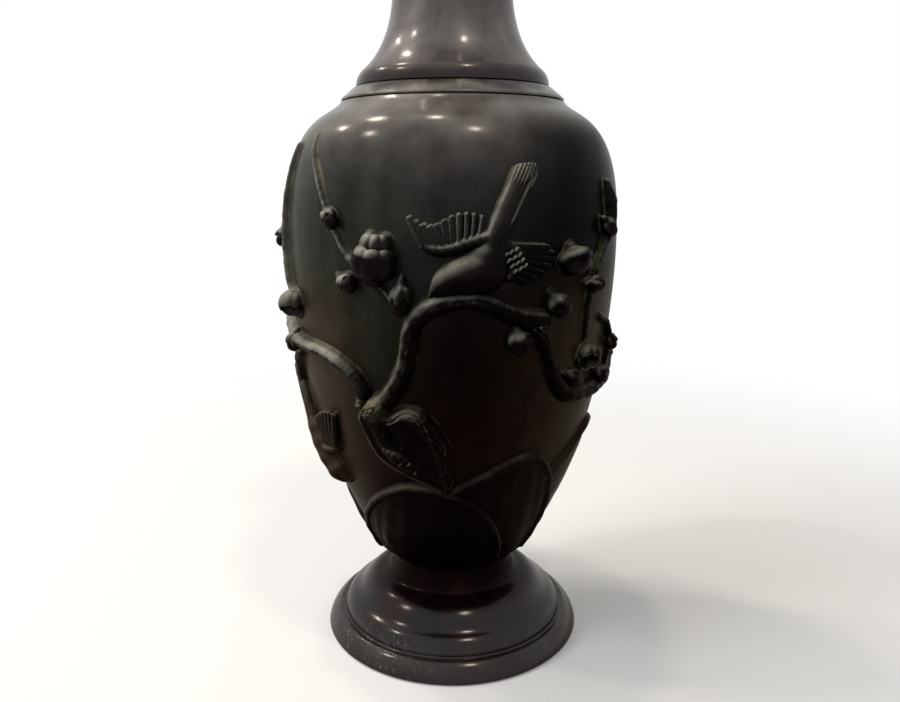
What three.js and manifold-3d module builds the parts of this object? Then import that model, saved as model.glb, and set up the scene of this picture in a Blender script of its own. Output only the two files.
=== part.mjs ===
// A cast bronze baluster vase, 305 mm high, with birds, plum branches and hills in high relief.
// The foot, body, collar and neck are turned hollow castings that plug into each other.
// Every ornament is a casting of its own whose back is fitted to the body's curve.
import * as THREE from "three";
import { mergeVertices } from "three/addons/utils/BufferGeometryUtils.js";
import Module from "manifold-3d";

const wasm = await Module();
wasm.setup();

// Driving dimensions, in millimetres. The vase stands on z = 0 and its front faces -Y.
const FACETS = 28; // sides of a turned casting
const GAP = 0.3; // clearance between castings that meet

const GROOVE = 0.3; // depth of the fine lines cut round the castings

const FOOT_RADIUS = 50;
const FOOT_HEIGHT = 31.1;
const FOOT_WALL = 3.2;
const FOOT_BEVEL = 0.8; // worn edge where the rim stands on the table
const FOOT_STEP_RADIUS = 45.4; // upper edge of the slanted rim band
const FOOT_STEP_HEIGHT = 6.9;
const FOOT_STEP_WIDTH = 2.3; // flat between the rim band and the dome
const FOOT_RING_RADIUS = 37.4; // shallow ring cut round the dome
const FOOT_RING_HEIGHT = 13.9;
const FOOT_BROW_RADIUS = 30; // where the dome turns up into the stem
const FOOT_BROW_HEIGHT = 20.7;
const STEM_RADIUS = 23.6;
const SOCKET_LEDGE = 3; // width of the ledge that the body's tenon stands on
const PLATE_RADIUS = 42.7;
const PLATE_THICKNESS = 2;
const PLATE_RECESS = 3; // height of the plate's underside above the table
const PLATE_LEDGE = 1.5; // width of the ledge that the plate is pressed up to

const WAIST_RADIUS = 25;
const BELLY_RADIUS = 59.7;
const SHOULDER_RADIUS = 39.6;
const BODY_HEIGHT = 169.8;
const BELLY_HEIGHT = 123.9; // from the waist up to the widest place
const BODY_WALL = 3;
const TENON_RADIUS = 19.6;
const TENON_LENGTH = 8.2;

const MOUTH_BORE = 27; // hole in the top of the body
const COLLAR_HEIGHT = 4.5;
const COLLAR_SPIGOT = 6; // how far the collar reaches down into the body
const COLLAR_WALL = 2.4;
const COLLAR_EDGE = 0.7; // thickness of the collar's outer edge
const COLLAR_LEDGE = 0.8; // how far the collar's top shows past the neck's skirt

const SKIRT_RADIUS = 34.2;
const SKIRT_ROLL = 5.2; // height of the rounded edge of the skirt
const SKIRT_STEP = 2; // how far that edge draws in
const THROAT_RADIUS = 20.7;
const THROAT_HEIGHT = 33.7; // from the neck's seat up to the narrowest place
const LIP_RADIUS = 36.6;
const LIP_ROLL = 2.5; // radius of the rolled lip's section
const NECK_HEIGHT = 98.7;
const NECK_WALL = 2.6;
const NECK_SPIGOT = 9; // how far the neck reaches down through the collar

const HILL_PROUD = 1; // how far a hill stands out of the body
const HILL_FOOT = 2.4; // where the hills end above the waist, in per cent of the body's height
const TRUNK_PROUD = 1.3;
const RIDGE_WIDTH = 2.8; // of the rolled edge along a hill's ridge
const RIDGE_PROUD = 2.2;
const FEATHER_WIDTH = 2.3;
const FEATHER_PROUD = 2.8;
const TAIL_FEATHER_WIDTH = 2.2;
const TAIL_FEATHER_PROUD = 3.4;

// Levels that follow from the driving dimensions.
const WAIST_Z = FOOT_HEIGHT + GAP;
const BELLY_Z = WAIST_Z + BELLY_HEIGHT;
const SHOULDER_Z = WAIST_Z + BODY_HEIGHT;
const COLLAR_Z = SHOULDER_Z + GAP;
const NECK_Z = COLLAR_Z + COLLAR_HEIGHT + GAP;

// Solids.

const at = (radius, z) => new THREE.Vector2(radius, z);
const sweep = (start, pull, end) => new THREE.QuadraticBezierCurve(start, pull, end);
const spline = (start, leave, arrive, end) => new THREE.CubicBezierCurve(start, leave, arrive, end);

// A three.js geometry as a manifold solid.
function solid(geometry) {
  const bare = new THREE.BufferGeometry();
  bare.setAttribute("position", geometry.attributes.position);
  bare.setIndex(geometry.index);
  const merged = mergeVertices(bare, 1e-4);
  const corners = merged.index.array;
  const triVerts = [];
  for (let i = 0; i < corners.length; i += 3) {
    const [a, b, c] = corners.slice(i, i + 3);
    if (a !== b && b !== c && c !== a) triVerts.push(a, b, c);
  }
  return new wasm.Manifold(
    new wasm.Mesh({
      numProp: 3,
      vertProperties: merged.attributes.position.array,
      triVerts: new Uint32Array(triVerts),
    }),
  );
}

// A solid turned about the vase's axis from an outline of (radius, z) points that runs
// up the outside and down the inside.
function turned(outline) {
  const lathe = new THREE.LatheGeometry([...outline, outline[0]], FACETS);
  return solid(lathe.rotateX(Math.PI / 2));
}

// Moves each vertex of a geometry to the place that a function gives it.
function moved(geometry, place) {
  const position = geometry.attributes.position;
  for (let i = 0; i < position.count; i += 1) {
    const p = place(position.getX(i), position.getY(i), position.getZ(i));
    position.setXYZ(i, p.x, p.y, p.z);
  }
  return geometry;
}

const joined = (solids) => solids.reduce((whole, piece) => whole.add(piece));

const largest = (shape) =>
  shape.decompose().reduce((best, piece) => (piece.volume() > best.volume() ? piece : best));

// The points of a chain of curves, each joint once.
function along(...curves) {
  const points = curves.flatMap(([curve, steps]) => curve.getPoints(steps).slice(1));
  return [curves[0][0].getPoint(0), ...points];
}

// The same open line moved sideways: outwards on a line that runs up the outside.
function offset(line, distance) {
  return line.map((point, i) => {
    const before = line[Math.max(i - 1, 0)];
    const after = line[Math.min(i + 1, line.length - 1)];
    const run = after.clone().sub(before).normalize();
    return at(point.x + run.y * distance, point.y - run.x * distance);
  });
}

// Turned castings.

function footOutside() {
  const rim = at(FOOT_RADIUS, FOOT_BEVEL);
  const step = at(FOOT_STEP_RADIUS, FOOT_STEP_HEIGHT);
  const dome = at(FOOT_STEP_RADIUS - FOOT_STEP_WIDTH, FOOT_STEP_HEIGHT + GROOVE);
  const ring = at(FOOT_RING_RADIUS, FOOT_RING_HEIGHT);
  const brow = at(FOOT_BROW_RADIUS, FOOT_BROW_HEIGHT);
  const stem = at(STEM_RADIUS, FOOT_HEIGHT);
  return [
    at(FOOT_RADIUS - FOOT_BEVEL, 0),
    ...along([sweep(rim, at(rim.x - 1.1, step.y - 2), step), 2]),
    at(dome.x + GROOVE, step.y - GROOVE),
    ...along([sweep(dome, at(dome.x, ring.y - 2.4), at(ring.x + GROOVE, ring.y)), 3]),
    ...along([sweep(at(ring.x, ring.y - GROOVE), at(ring.x - 3.2, brow.y - 2), brow), 2]),
    ...along([sweep(brow, at(stem.x + 2.4, brow.y + 2.4), stem), 3]).slice(1),
  ];
}

function foot() {
  const socket = TENON_RADIUS + GAP;
  const bore = socket - SOCKET_LEDGE;
  const ledge = FOOT_HEIGHT - TENON_LENGTH - GAP;
  const seat = PLATE_RECESS + PLATE_THICKNESS + GAP;
  const roof = at(PLATE_RADIUS - PLATE_LEDGE, seat);
  const crown = at(bore, FOOT_RING_HEIGHT + FOOT_WALL);
  return turned([
    ...footOutside(),
    at(socket, FOOT_HEIGHT),
    at(socket, ledge),
    at(bore, ledge),
    ...along([sweep(crown, at(FOOT_BROW_RADIUS, crown.y), roof), 3]),
    at(PLATE_RADIUS + GAP, seat),
    at(PLATE_RADIUS + GAP, 0),
  ]);
}

function basePlate() {
  return turned([
    at(0, PLATE_RECESS),
    at(PLATE_RADIUS, PLATE_RECESS),
    at(PLATE_RADIUS, PLATE_RECESS + PLATE_THICKNESS),
    at(0, PLATE_RECESS + PLATE_THICKNESS),
  ]);
}

// The body's outside: a long swelling curve from the waist to the belly and a full round shoulder.
const bodyOutside = (() => {
  const waist = at(WAIST_RADIUS, WAIST_Z);
  const belly = at(BELLY_RADIUS, BELLY_Z);
  const shoulder = at(SHOULDER_RADIUS, SHOULDER_Z);
  const below = belly.clone().sub(waist);
  const above = shoulder.clone().sub(belly);
  const swell = spline(
    waist,
    at(waist.x + 0.44 * below.x, waist.y + 0.17 * below.y),
    at(belly.x, belly.y - 0.53 * below.y),
    belly,
  );
  const round = spline(
    belly,
    at(belly.x, belly.y + 0.93 * above.y),
    at(shoulder.x - 0.22 * above.x, shoulder.y - 0.14 * above.y),
    shoulder,
  );
  return along([swell, 8], [round, 6]);
})();

// A hollow casting with a tenon below and a round hole in its flat top.
function body() {
  const bore = TENON_RADIUS - BODY_WALL;
  const tenonFoot = WAIST_Z - TENON_LENGTH;
  const lid = SHOULDER_Z - BODY_WALL;
  const floor = WAIST_Z + BODY_WALL;
  const wall = offset(bodyOutside, -BODY_WALL).filter((point, i) => i % 2 === 0);
  const inside = wall.filter((point) => point.y > floor && point.y < lid);
  return turned([
    at(bore, tenonFoot),
    at(TENON_RADIUS, tenonFoot),
    at(TENON_RADIUS, WAIST_Z),
    ...bodyOutside,
    at(MOUTH_BORE, SHOULDER_Z),
    at(MOUTH_BORE, lid),
    at(SHOULDER_RADIUS - BODY_WALL, lid),
    ...inside.reverse(),
    at(WAIST_RADIUS - BODY_WALL, floor),
    at(bore, floor),
  ]);
}

// A sloping ring whose spigot sits in the body's mouth.
function shoulderCollar() {
  const outer = MOUTH_BORE - GAP;
  const inner = outer - COLLAR_WALL;
  const top = COLLAR_Z + COLLAR_HEIGHT;
  return turned([
    at(inner, COLLAR_Z - COLLAR_SPIGOT),
    at(outer, COLLAR_Z - COLLAR_SPIGOT),
    at(outer, COLLAR_Z),
    at(SHOULDER_RADIUS, COLLAR_Z),
    at(SHOULDER_RADIUS, COLLAR_Z + COLLAR_EDGE),
    at(SKIRT_RADIUS + COLLAR_LEDGE, top),
    at(inner, top),
  ]);
}

// The neck is open from end to end: a rolled skirt, a waisted throat and a trumpet mouth.
function neck() {
  const spigot = MOUTH_BORE - GAP - COLLAR_WALL - GAP;
  const bore = spigot - NECK_WALL;
  const top = NECK_Z + NECK_HEIGHT;
  const roll = at(SKIRT_RADIUS - SKIRT_STEP, NECK_Z + SKIRT_ROLL);
  const throat = at(THROAT_RADIUS, NECK_Z + THROAT_HEIGHT);
  const hollow = at(THROAT_RADIUS - NECK_WALL, throat.y);
  const lipTurn = [-0.6 * Math.PI, 0.9 * Math.PI];
  const lip = new THREE.EllipseCurve(LIP_RADIUS - LIP_ROLL, top - LIP_ROLL, LIP_ROLL, LIP_ROLL, ...lipTurn);
  const trumpet = (from, to) => {
    const rise = to.y - from.y;
    const spread = to.x - from.x;
    return spline(from, at(from.x, from.y + 0.36 * rise), at(from.x + 0.3 * spread, to.y - 0.27 * rise), to);
  };
  return turned([
    at(bore, NECK_Z - NECK_SPIGOT),
    at(spigot, NECK_Z - NECK_SPIGOT),
    at(spigot, NECK_Z),
    ...along(
      [sweep(at(SKIRT_RADIUS, NECK_Z), at(SKIRT_RADIUS, NECK_Z + 0.6 * SKIRT_ROLL), roll), 2],
      [spline(roll, at(roll.x - 4.6, roll.y + 4), at(throat.x + 0.9, throat.y - 17.5), throat), 4],
      [trumpet(throat, lip.getPoint(0)), 4],
      [lip, 4],
    ),
    ...along([trumpet(hollow, lip.getPoint(1)), 3]).reverse().slice(1),
    at(bore, NECK_Z + SKIRT_ROLL),
  ]);
}

// The body as a surface to model on. Places on it are degrees round from the front, growing
// towards +X, and per cent of the body's height, from 0 at the waist to 100 at the shoulder.

const level = (percent) => WAIST_Z + (percent / 100) * BODY_HEIGHT;
const MM_PER_DEGREE = THREE.MathUtils.degToRad(BELLY_RADIUS);

function bodyRadius(z) {
  const i = bodyOutside.findIndex((point) => point.y >= z);
  if (i <= 0) return i === 0 ? WAIST_RADIUS : SHOULDER_RADIUS;
  const [low, high] = [bodyOutside[i - 1], bodyOutside[i]];
  return THREE.MathUtils.mapLinear(z, low.y, high.y, low.x, high.x);
}

// The point that stands a height proud of the body's surface.
function onBody(degrees, z, proud = 0) {
  const turn = THREE.MathUtils.degToRad(degrees);
  const lean = Math.atan((bodyRadius(z + 3) - bodyRadius(z - 3)) / 6);
  const radius = bodyRadius(z) + proud * Math.cos(lean);
  return new THREE.Vector3(radius * Math.sin(turn), -radius * Math.cos(turn), z - proud * Math.sin(lean));
}

// The inside of every ornament is cut by this: the body's outside, grown by the clearance.
function bodyGrownBy(distance) {
  const skin = offset(bodyOutside, distance);
  return turned([at(0, WAIST_Z - 20), at(skin[0].x, WAIST_Z - 20), ...skin, at(0, SHOULDER_Z + distance)]);
}

const core = bodyGrownBy(GAP);

// A limb follows the body through stations of [degrees, per cent, half width, height proud].
// Its section is an ellipse that reaches one half width into the body before it is cut.
function limb(stations, grow = 0, sides = 6) {
  const last = stations.length - 1;
  const path = new THREE.CatmullRomCurve3(
    stations.map(([degrees, percent]) => new THREE.Vector3(degrees * MM_PER_DEGREE, level(percent), 0)),
  );
  const place = (share, proud) => {
    const point = path.getPoint(THREE.MathUtils.clamp(share, 0, 1));
    return onBody(point.x / MM_PER_DEGREE, point.y, proud);
  };
  const tube = new THREE.CylinderGeometry(1, 1, 1, sides, last);
  return solid(
    moved(tube, (across, up, out) => {
      const share = up + 0.5;
      const [, , width, height] = stations[Math.round(share * last)];
      const halfWidth = width + grow;
      const proud = height + grow;
      const tangent = place(share + 0.01, 0).sub(place(share - 0.01, 0)).normalize();
      const normal = place(share, 1).sub(place(share, 0));
      const side = tangent.clone().cross(normal).normalize();
      const end = share < 0.001 ? -grow : share > 0.999 ? grow : 0;
      return place(share, (proud - halfWidth) / 2)
        .addScaledVector(side, across * halfWidth)
        .addScaledVector(normal, (out * (proud + halfWidth)) / 2)
        .addScaledVector(tangent, end);
    }),
  );
}

// A bud or blossom turned about its own axis. It points some degrees clockwise from straight up
// and rises some degrees out of the surface, on which it is lifted by some millimetres.
function flower(outline, sides, lobes, place, grow) {
  const { degrees, percent, radius, length, lift, points, rise } = place;
  const z = level(percent);
  const out = onBody(degrees, z, 1).sub(onBody(degrees, z, 0));
  const north = onBody(degrees, z + 1).sub(onBody(degrees, z - 1)).normalize();
  const east = north.clone().cross(out).normalize();
  const heading = THREE.MathUtils.degToRad(points);
  const climb = THREE.MathUtils.degToRad(rise);
  const axis = east
    .multiplyScalar(Math.sin(heading) * Math.cos(climb))
    .addScaledVector(north, Math.cos(heading) * Math.cos(climb))
    .addScaledVector(out, Math.sin(climb))
    .normalize();
  const right = axis.clone().cross(out).normalize();
  const frame = new THREE.Matrix4().makeBasis(right, axis, right.clone().cross(axis));
  frame.setPosition(onBody(degrees, z, lift).addScaledVector(axis, -length / 2 - grow));
  const profile = outline.map(([r, y]) => at(r * (radius + grow), y * (length + 2 * grow)));
  const lathe = new THREE.LatheGeometry(profile, sides);
  const lobed = moved(lathe, (x, y, depth) => {
    const petal = Math.abs(Math.cos((lobes / 2) * Math.atan2(x, depth)));
    const swell = lobes ? 0.84 + 0.16 * petal : 1;
    return new THREE.Vector3(x * swell, y, depth * swell).applyMatrix4(frame);
  });
  return solid(lobed);
}

// Outlines of share of radius and share of length, from the stalk to the tip.
const BUD = [[0, 0], [0.66, 0.06], [0.88, 0.26], [1, 0.5], [0.86, 0.82], [0, 1]];
const CUP = [[0, 0], [0.76, 0.12], [1, 0.52], [0.88, 0.92], [0.5, 0.72], [0, 0.86]];

const bud = (degrees, percent, shape) => (grow) =>
  flower(BUD, 7, 0, { degrees, percent, lift: 2, rise: 15, ...shape }, grow);
const blossom = (degrees, percent, shape) => (grow) =>
  flower(CUP, 15, 5, { degrees, percent, lift: 1.6, rise: 40, ...shape }, grow);
const branch = (stations, sides = 6) => (grow) => limb(stations, grow, sides);

// A fan of feathers, each a slim limb that tapers from its root to its tip.
function feathers(quills, width, proud, grow) {
  return quills.map(([rootTurn, rootUp, tipTurn, tipUp]) => {
    const root = [rootTurn, rootUp, width / 2, proud];
    const tip = [tipTurn, tipUp, 0.4 * width, 0.7 * proud];
    return limb([root, tip], grow, 4);
  });
}

const bird = (shape) => (grow) =>
  joined([
    limb(shape.body, grow, 8),
    ...feathers(shape.tail, TAIL_FEATHER_WIDTH, TAIL_FEATHER_PROUD, grow),
    ...shape.wings.flatMap((wing) => feathers(wing, FEATHER_WIDTH, FEATHER_PROUD, grow)),
    ...shape.coverts.map((covert) => limb(covert, grow)),
  ]);

// A wedge from the vase's axis out through an outline of [degrees, per cent] on the body.
// Its rays spread from one pivot, so that every side of the wedge is flat.
function wedge(outline) {
  const levels = outline.map(([, percent]) => level(percent));
  const pivot = new THREE.Vector3(0, 0, (Math.min(...levels) + Math.max(...levels)) / 2);
  const shape = new THREE.Shape(outline.map(([degrees, percent]) => at(degrees, level(percent))));
  const slab = new THREE.ExtrudeGeometry(shape, { depth: 1, steps: 1, bevelEnabled: false });
  return solid(
    moved(slab, (degrees, z, depth) => {
      const reach = THREE.MathUtils.lerp(0.1, 2, depth);
      return pivot.clone().lerp(onBody(degrees, z), reach);
    }),
  );
}

// A hill is a thin skin under a ridge line, with a rolled edge along the ridge.
const hill = (ridge) => (grow) => {
  const base = ridge.map(([degrees]) => [degrees, HILL_FOOT]);
  const crest = ridge.map((place) => [...place, RIDGE_WIDTH / 2, RIDGE_PROUD]);
  const skin = bodyGrownBy(HILL_PROUD + grow).intersect(wedge([...base, ...[...ridge].reverse()]));
  return skin.add(limb(crest, grow, 4));
};

// Ornaments, in the order in which they are fitted: each is cut round the ones before it.

// The old trunk: a broken hook round a hollow, an inner band and a root line down its left side.
const TRUNK = {
  outline: [
    [-32.5, 41.5], [-34, 39.3], [-32, 36], [-29.8, 32.6], [-24.4, 29.3], [-12, 26.2], [-4, 24.4],
    [-0.6, 24.4], [-1.3, 29], [-4.6, 36], [-8, 40], [-14, 42.6], [-22, 42.4],
  ],
  hook: [
    [-22.4, 39, 1.4, 2.2], [-19, 40.6, 2, 3.6], [-14.8, 41.4, 2.3, 4.2], [-11, 40.5, 2.6, 4.5],
    [-7.3, 38, 2.9, 4.5], [-4.8, 35, 3, 4.4], [-2.9, 31.6, 2.9, 4], [-2, 27.7, 2.6, 3.2],
    [-2, 24.5, 2.2, 2.4],
  ],
  band: [
    [-24.8, 33, 1.7, 2.4], [-20.9, 32, 2.4, 3.4], [-17.4, 30.7, 2.5, 3.4], [-13.9, 29.4, 2.2, 3],
    [-10, 27.6, 1.4, 2.2],
  ],
  root: [
    [-34.2, 39.3, 0.8, 1.9], [-30, 32.7, 0.8, 1.9], [-24.4, 29.6, 0.8, 1.9], [-12.1, 26.4, 0.8, 1.9],
    [-5, 24.6, 0.8, 1.9],
  ],
  hollow: [[-20.4, 38, 1.6, 6], [-20, 35.6, 2.6, 6], [-16.8, 34.4, 1.6, 6]],
};
const trunk = (grow) =>
  bodyGrownBy(TRUNK_PROUD + grow)
    .intersect(wedge(TRUNK.outline))
    .add(limb(TRUNK.hook, grow))
    .add(limb(TRUNK.band, grow))
    .add(limb(TRUNK.root, grow, 5))
    .subtract(limb(TRUNK.hollow, -grow));

const ORNAMENTS = {
  hill_front: hill([
    [-63, 4], [-56, 10.5], [-46, 16], [-35, 20.6], [-23, 24], [-12, 24.8], [0.9, 23], [12, 19.2],
    [24, 11.5], [31, 4],
  ]),
  hill_right: hill([
    [-1.7, 23.8], [11, 27], [24.4, 30.4], [33, 30.6], [41, 27.4], [48, 22], [55, 14], [60, 4],
  ]),
  hill_far_right: hill([[43, 24.2], [54, 28], [66, 32.4], [78, 33], [90, 28.6], [102, 19], [110, 4]]),
  hill_back_right: hill([[92, 4], [101, 18], [114, 26], [130, 28.8], [146, 25], [159, 16], [168, 4]]),
  hill_back_left: hill([[150, 4], [160, 15.6], [176, 23.4], [196, 22.8], [212, 14], [222, 4]]),
  hill_far_left: hill([[204, 4], [214, 17], [230, 26], [248, 26], [264, 18.5], [277, 10.5], [286, 4]]),
  trunk,
  branch_main: branch([
    [-29.5, 41.2, 3, 3.6], [-26, 42.4, 3.6, 4.8], [-22, 44, 3, 4.6], [-17.6, 47.6, 2.6, 4.5],
    [-15, 50.8, 2.5, 4.4], [-13.5, 54.4, 2.5, 4.4], [-12.7, 57.3, 2.6, 4.5], [-11, 59.8, 2.8, 4.8],
    [-7.9, 61.8, 2.8, 4.8], [-3.4, 63, 2.7, 4.6], [0.7, 63.5, 2.4, 4.4], [5.3, 63.7, 2.4, 4.4],
    [10.4, 62.9, 2.4, 4.4], [14.8, 61.6, 2.5, 4.2], [19.4, 60.2, 2.6, 4], [24.2, 59.4, 3, 4],
    [29, 59.2, 2.6, 3.4],
  ]),
  branch_right: branch([
    [26.4, 58.4, 2.4, 3.8], [29.4, 54.6, 2, 3.8], [32, 51, 1.9, 3.8], [34.4, 48, 2.1, 4],
    [38.4, 45.2, 2.6, 4.2], [44.2, 43.3, 2.9, 4.4], [51.7, 42.8, 2.6, 4.2], [61.4, 43.1, 2.4, 4],
    [71, 43.6, 2.4, 4], [82, 45.6, 2.3, 3.8], [93, 49, 2.2, 3.6], [104, 51, 2, 3.4], [115, 52, 1.8, 3.2],
  ]),
  branch_left: branch([
    [-31.4, 42.6, 2.2, 3.8], [-30.4, 45, 2.1, 3.8], [-32.5, 47.6, 2.1, 3.8], [-36, 49.4, 2.1, 3.8],
    [-41.5, 50.9, 2.1, 3.8], [-48.3, 51.9, 2, 3.6], [-56, 52, 2, 3.6], [-66, 52.4, 2.2, 3.8],
    [-78, 54, 2.1, 3.6], [-90, 56.6, 2, 3.6], [-102, 58.6, 1.9, 3.4], [-113, 60, 1.7, 3],
  ]),
  branch_low: branch([
    [-67, 49.6, 1.7, 3], [-72, 47.4, 1.9, 3.2], [-75.5, 44, 1.8, 3.2], [-77, 40.6, 1.6, 3],
    [-76, 37.6, 1.3, 2.4],
  ]),
  twig_upper_left: branch([
    [-54, 92.6, 2.2, 1.5], [-52, 89.6, 1.6, 1.9], [-47, 85, 1, 1.9], [-41.2, 79, 0.9, 1.9],
    [-37.6, 75.6, 1, 2], [-34, 72, 1, 2], [-30.4, 69.8, 1.3, 2.3], [-26.6, 67.9, 1, 1.9],
    [-20.7, 65, 0.8, 1.6], [-16.5, 61.8, 0.8, 1.6],
  ], 5),
  stem_left: branch([
    [-68, 91, 1, 1.4], [-70.5, 84, 1.3, 1.9], [-72.5, 77, 1.6, 2.4], [-73, 70, 1.7, 2.6],
    [-70, 64, 1.6, 2.4], [-66.4, 61.4, 1.4, 2],
  ], 5),
  twig_right: branch([
    [58, 84, 1.3, 2], [59, 81, 2.2, 3.4], [59.4, 78, 2.2, 3.6], [58, 74.6, 1.5, 2.8],
    [54.4, 71.4, 1.1, 2.2], [51, 68.2, 1.1, 2.2], [48.6, 64, 1.1, 2], [47.4, 59, 1, 1.8],
    [48, 54.6, 1, 1.8],
  ], 5),
  twig_far_right: branch([
    [58, 57.6, 1, 1.8], [63, 56.4, 1.2, 2.2], [68.5, 53.4, 1.3, 2.6], [73.5, 49, 1.3, 2.4],
    [75, 45.6, 1.2, 2],
  ], 5),
  branch_back_right: branch([
    [114, 51.9, 1.8, 3.2], [127, 54.4, 1.8, 3.2], [137, 58, 1.7, 3], [146, 62.6, 1.6, 2.8],
    [155, 66, 1.6, 2.8], [165, 68, 1.5, 2.6], [173, 72, 1.2, 2.2], [178, 78, 1, 1.8], [181, 84, 0.9, 1.5],
  ]),
  twig_back_left: branch([
    [-110, 59.8, 1.4, 2.6], [-119, 63.4, 1.4, 2.5], [-126, 68, 1.2, 2.2], [-131, 73.6, 1.1, 2],
    [-133, 79.6, 1, 1.8], [-137, 85, 0.9, 1.5],
  ], 5),
  bird_front: bird({
    body: [
      [13.2, 76.6, 2.6, 4], [12, 74, 4.8, 5], [10.6, 71.2, 6.9, 6], [8.2, 69, 7.4, 6.6],
      [4.6, 68.2, 6.6, 6.6], [1, 67.6, 5.4, 6], [-2.2, 66.6, 4.2, 5.2], [-4.6, 65.4, 2.7, 3.8],
      [-6.4, 64.4, 0.9, 2],
    ],
    tail: [
      [11.4, 76, 19.7, 86.9], [11.9, 75.9, 20.6, 86.9], [12.4, 75.7, 21.6, 86.6], [13, 75.5, 22.5, 86.2],
      [13.5, 75.3, 23.3, 85.7],
    ],
    wings: [
      [
        [-8.9, 73.9, -12.1, 77.8], [-7, 73.9, -9.8, 77.2], [-5.2, 73.9, -7.4, 76.8], [-3.4, 74, -5.1, 76.8],
        [-1.6, 74.1, -2.9, 77.1], [0.2, 74.3, -0.7, 77.9], [2, 74.5, 1.7, 78.5], [3.8, 74.7, 4.2, 78.7],
        [5.6, 74.9, 6.7, 78.5], [7.4, 75.2, 9.2, 78.2],
      ],
      [
        [17.4, 73.2, 30, 72.9], [17.4, 72.4, 30.4, 71.7], [17.4, 71.6, 29.8, 70.4], [17, 70.8, 28.4, 69.2],
        [16.6, 70, 26.4, 68.1], [16, 69.2, 23.8, 67.2], [15.2, 68.4, 21, 66.6],
      ],
    ],
    coverts: [
      [
        [-9.2, 73.6, 0.9, 2], [-6.6, 72.9, 1.6, 2.9], [-3.4, 72.6, 2, 3.3], [0, 72.9, 2.1, 3.5],
        [4, 73.7, 2.2, 4], [8.5, 74.6, 2.2, 4.4],
      ],
      [
        [11, 73.8, 2, 4.6], [15.4, 73, 2.3, 4.6], [18.3, 71.4, 2.4, 4.2], [18.4, 69.4, 2, 3.6],
        [16, 67.6, 1.6, 3.4],
      ],
    ],
  }),
  bird_left: bird({
    body: [
      [-73, 37.2, 2.4, 3.4], [-71, 34, 4.4, 4.6], [-68, 30.8, 5.6, 5.4], [-64.4, 27.6, 5.4, 5.6],
      [-61, 25.4, 4.6, 5.4], [-57.8, 23.8, 4, 5.2], [-55.2, 22.8, 2.6, 3.8], [-53, 22.2, 0.9, 2],
    ],
    tail: [[-72, 37, -79.5, 45], [-73, 36.7, -81.2, 44.4], [-74, 36.4, -82.8, 43.8]],
    wings: [
      [
        [-63.6, 30, -64.4, 35.2], [-61.6, 30.2, -61.6, 36], [-59.6, 30.4, -58.8, 36.8],
        [-57.6, 30.6, -56, 37.5], [-55.6, 30.8, -53.2, 38], [-53.6, 31, -50.4, 38.3], [-52, 31, -47.8, 38.2],
      ],
    ],
    coverts: [[[-66, 30, 2.2, 4.4], [-61, 29.2, 2.3, 4], [-56, 29.6, 2, 3.4], [-52, 30.2, 1.4, 2.6]]],
  }),
  blossom_upper_left: blossom(-22.8, 70.3, { radius: 6.9, length: 9.6, points: 10, rise: 32 }),
  blossom_behind: blossom(-22.6, 74.4, { radius: 4.6, length: 5, lift: 0.6, points: 5, rise: 35 }),
  blossom_left: blossom(-64.4, 60, { radius: 5.4, length: 7.6, points: 20 }),
  blossom_right: blossom(38.6, 69.8, { radius: 5.8, length: 8.6, points: -15, rise: 35 }),
  blossom_low_right: blossom(50, 50.6, { radius: 4.8, length: 7, lift: 1.4, points: 30, rise: 35 }),
  blossom_back_right: blossom(118.5, 53.6, { radius: 6, length: 8, points: 40 }),
  blossom_back: blossom(172.5, 69.4, { radius: 6.4, length: 8.4, points: -20, rise: 45 }),
  blossom_back_left: blossom(-115.6, 61.6, { radius: 5.8, length: 7.8, points: -30 }),
  bud_top_left: bud(-38.6, 77.4, { radius: 2.7, length: 7.2, lift: 1.7, points: 135 }),
  bud_mid_left: bud(-32.4, 66, { radius: 2.7, length: 7.4, lift: 1.8, points: 110 }),
  bud_hanging: bud(-15, 63.4, { radius: 3.1, length: 10, points: 180, rise: 8 }),
  bud_left_edge: bud(-76.2, 72.6, { radius: 2.4, length: 6.4, lift: 2.2, points: 160, rise: 10 }),
  bud_branch_left: bud(-68.4, 51.6, { radius: 3, length: 7.4, lift: 2.6, points: 200 }),
  bud_top_right: bud(56, 75.4, { radius: 2.7, length: 6.8, lift: 2.2, points: 140, rise: 10 }),
  bud_twig_right: bud(49.8, 65, { radius: 2.7, length: 7.2, points: 95, rise: 12 }),
  bud_round: bud(33, 61.8, { radius: 3.6, length: 7.6, lift: 2.4, points: 150, rise: 30 }),
  bud_under_branch: bud(20.4, 55.4, { radius: 3.7, length: 8, points: 175 }),
  bud_far_right: bud(70, 51.4, { radius: 2.5, length: 6.4, lift: 2.4, points: 150 }),
  bud_low_right: bud(62, 45.5, { radius: 2.9, length: 6.4, lift: 2.4, points: 170, rise: 20 }),
  knob_right: bud(43.6, 46.8, { radius: 2.5, length: 8.4, lift: 1.8, points: 115, rise: 10 }),
  bud_side_right: bud(90, 46, { radius: 2.8, length: 7, lift: 2.4, points: 190 }),
  bud_back_right: bud(143, 63.6, { radius: 2.8, length: 7, lift: 1.9, points: 20 }),
  bud_back_top: bud(184, 80, { radius: 2.6, length: 6.6, lift: 1.8, points: 60 }),
  bud_back_left: bud(-122, 70.6, { radius: 2.6, length: 6.8, lift: 1.8, points: 70 }),
};

// Assembly.

const bronze = (color, roughness) => new THREE.MeshStandardMaterial({ color, roughness, metalness: 0.9 });
const FINISH = {
  turned: bronze(0x2b2624, 0.35),
  ornament: bronze(0x33322c, 0.45),
};

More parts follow.
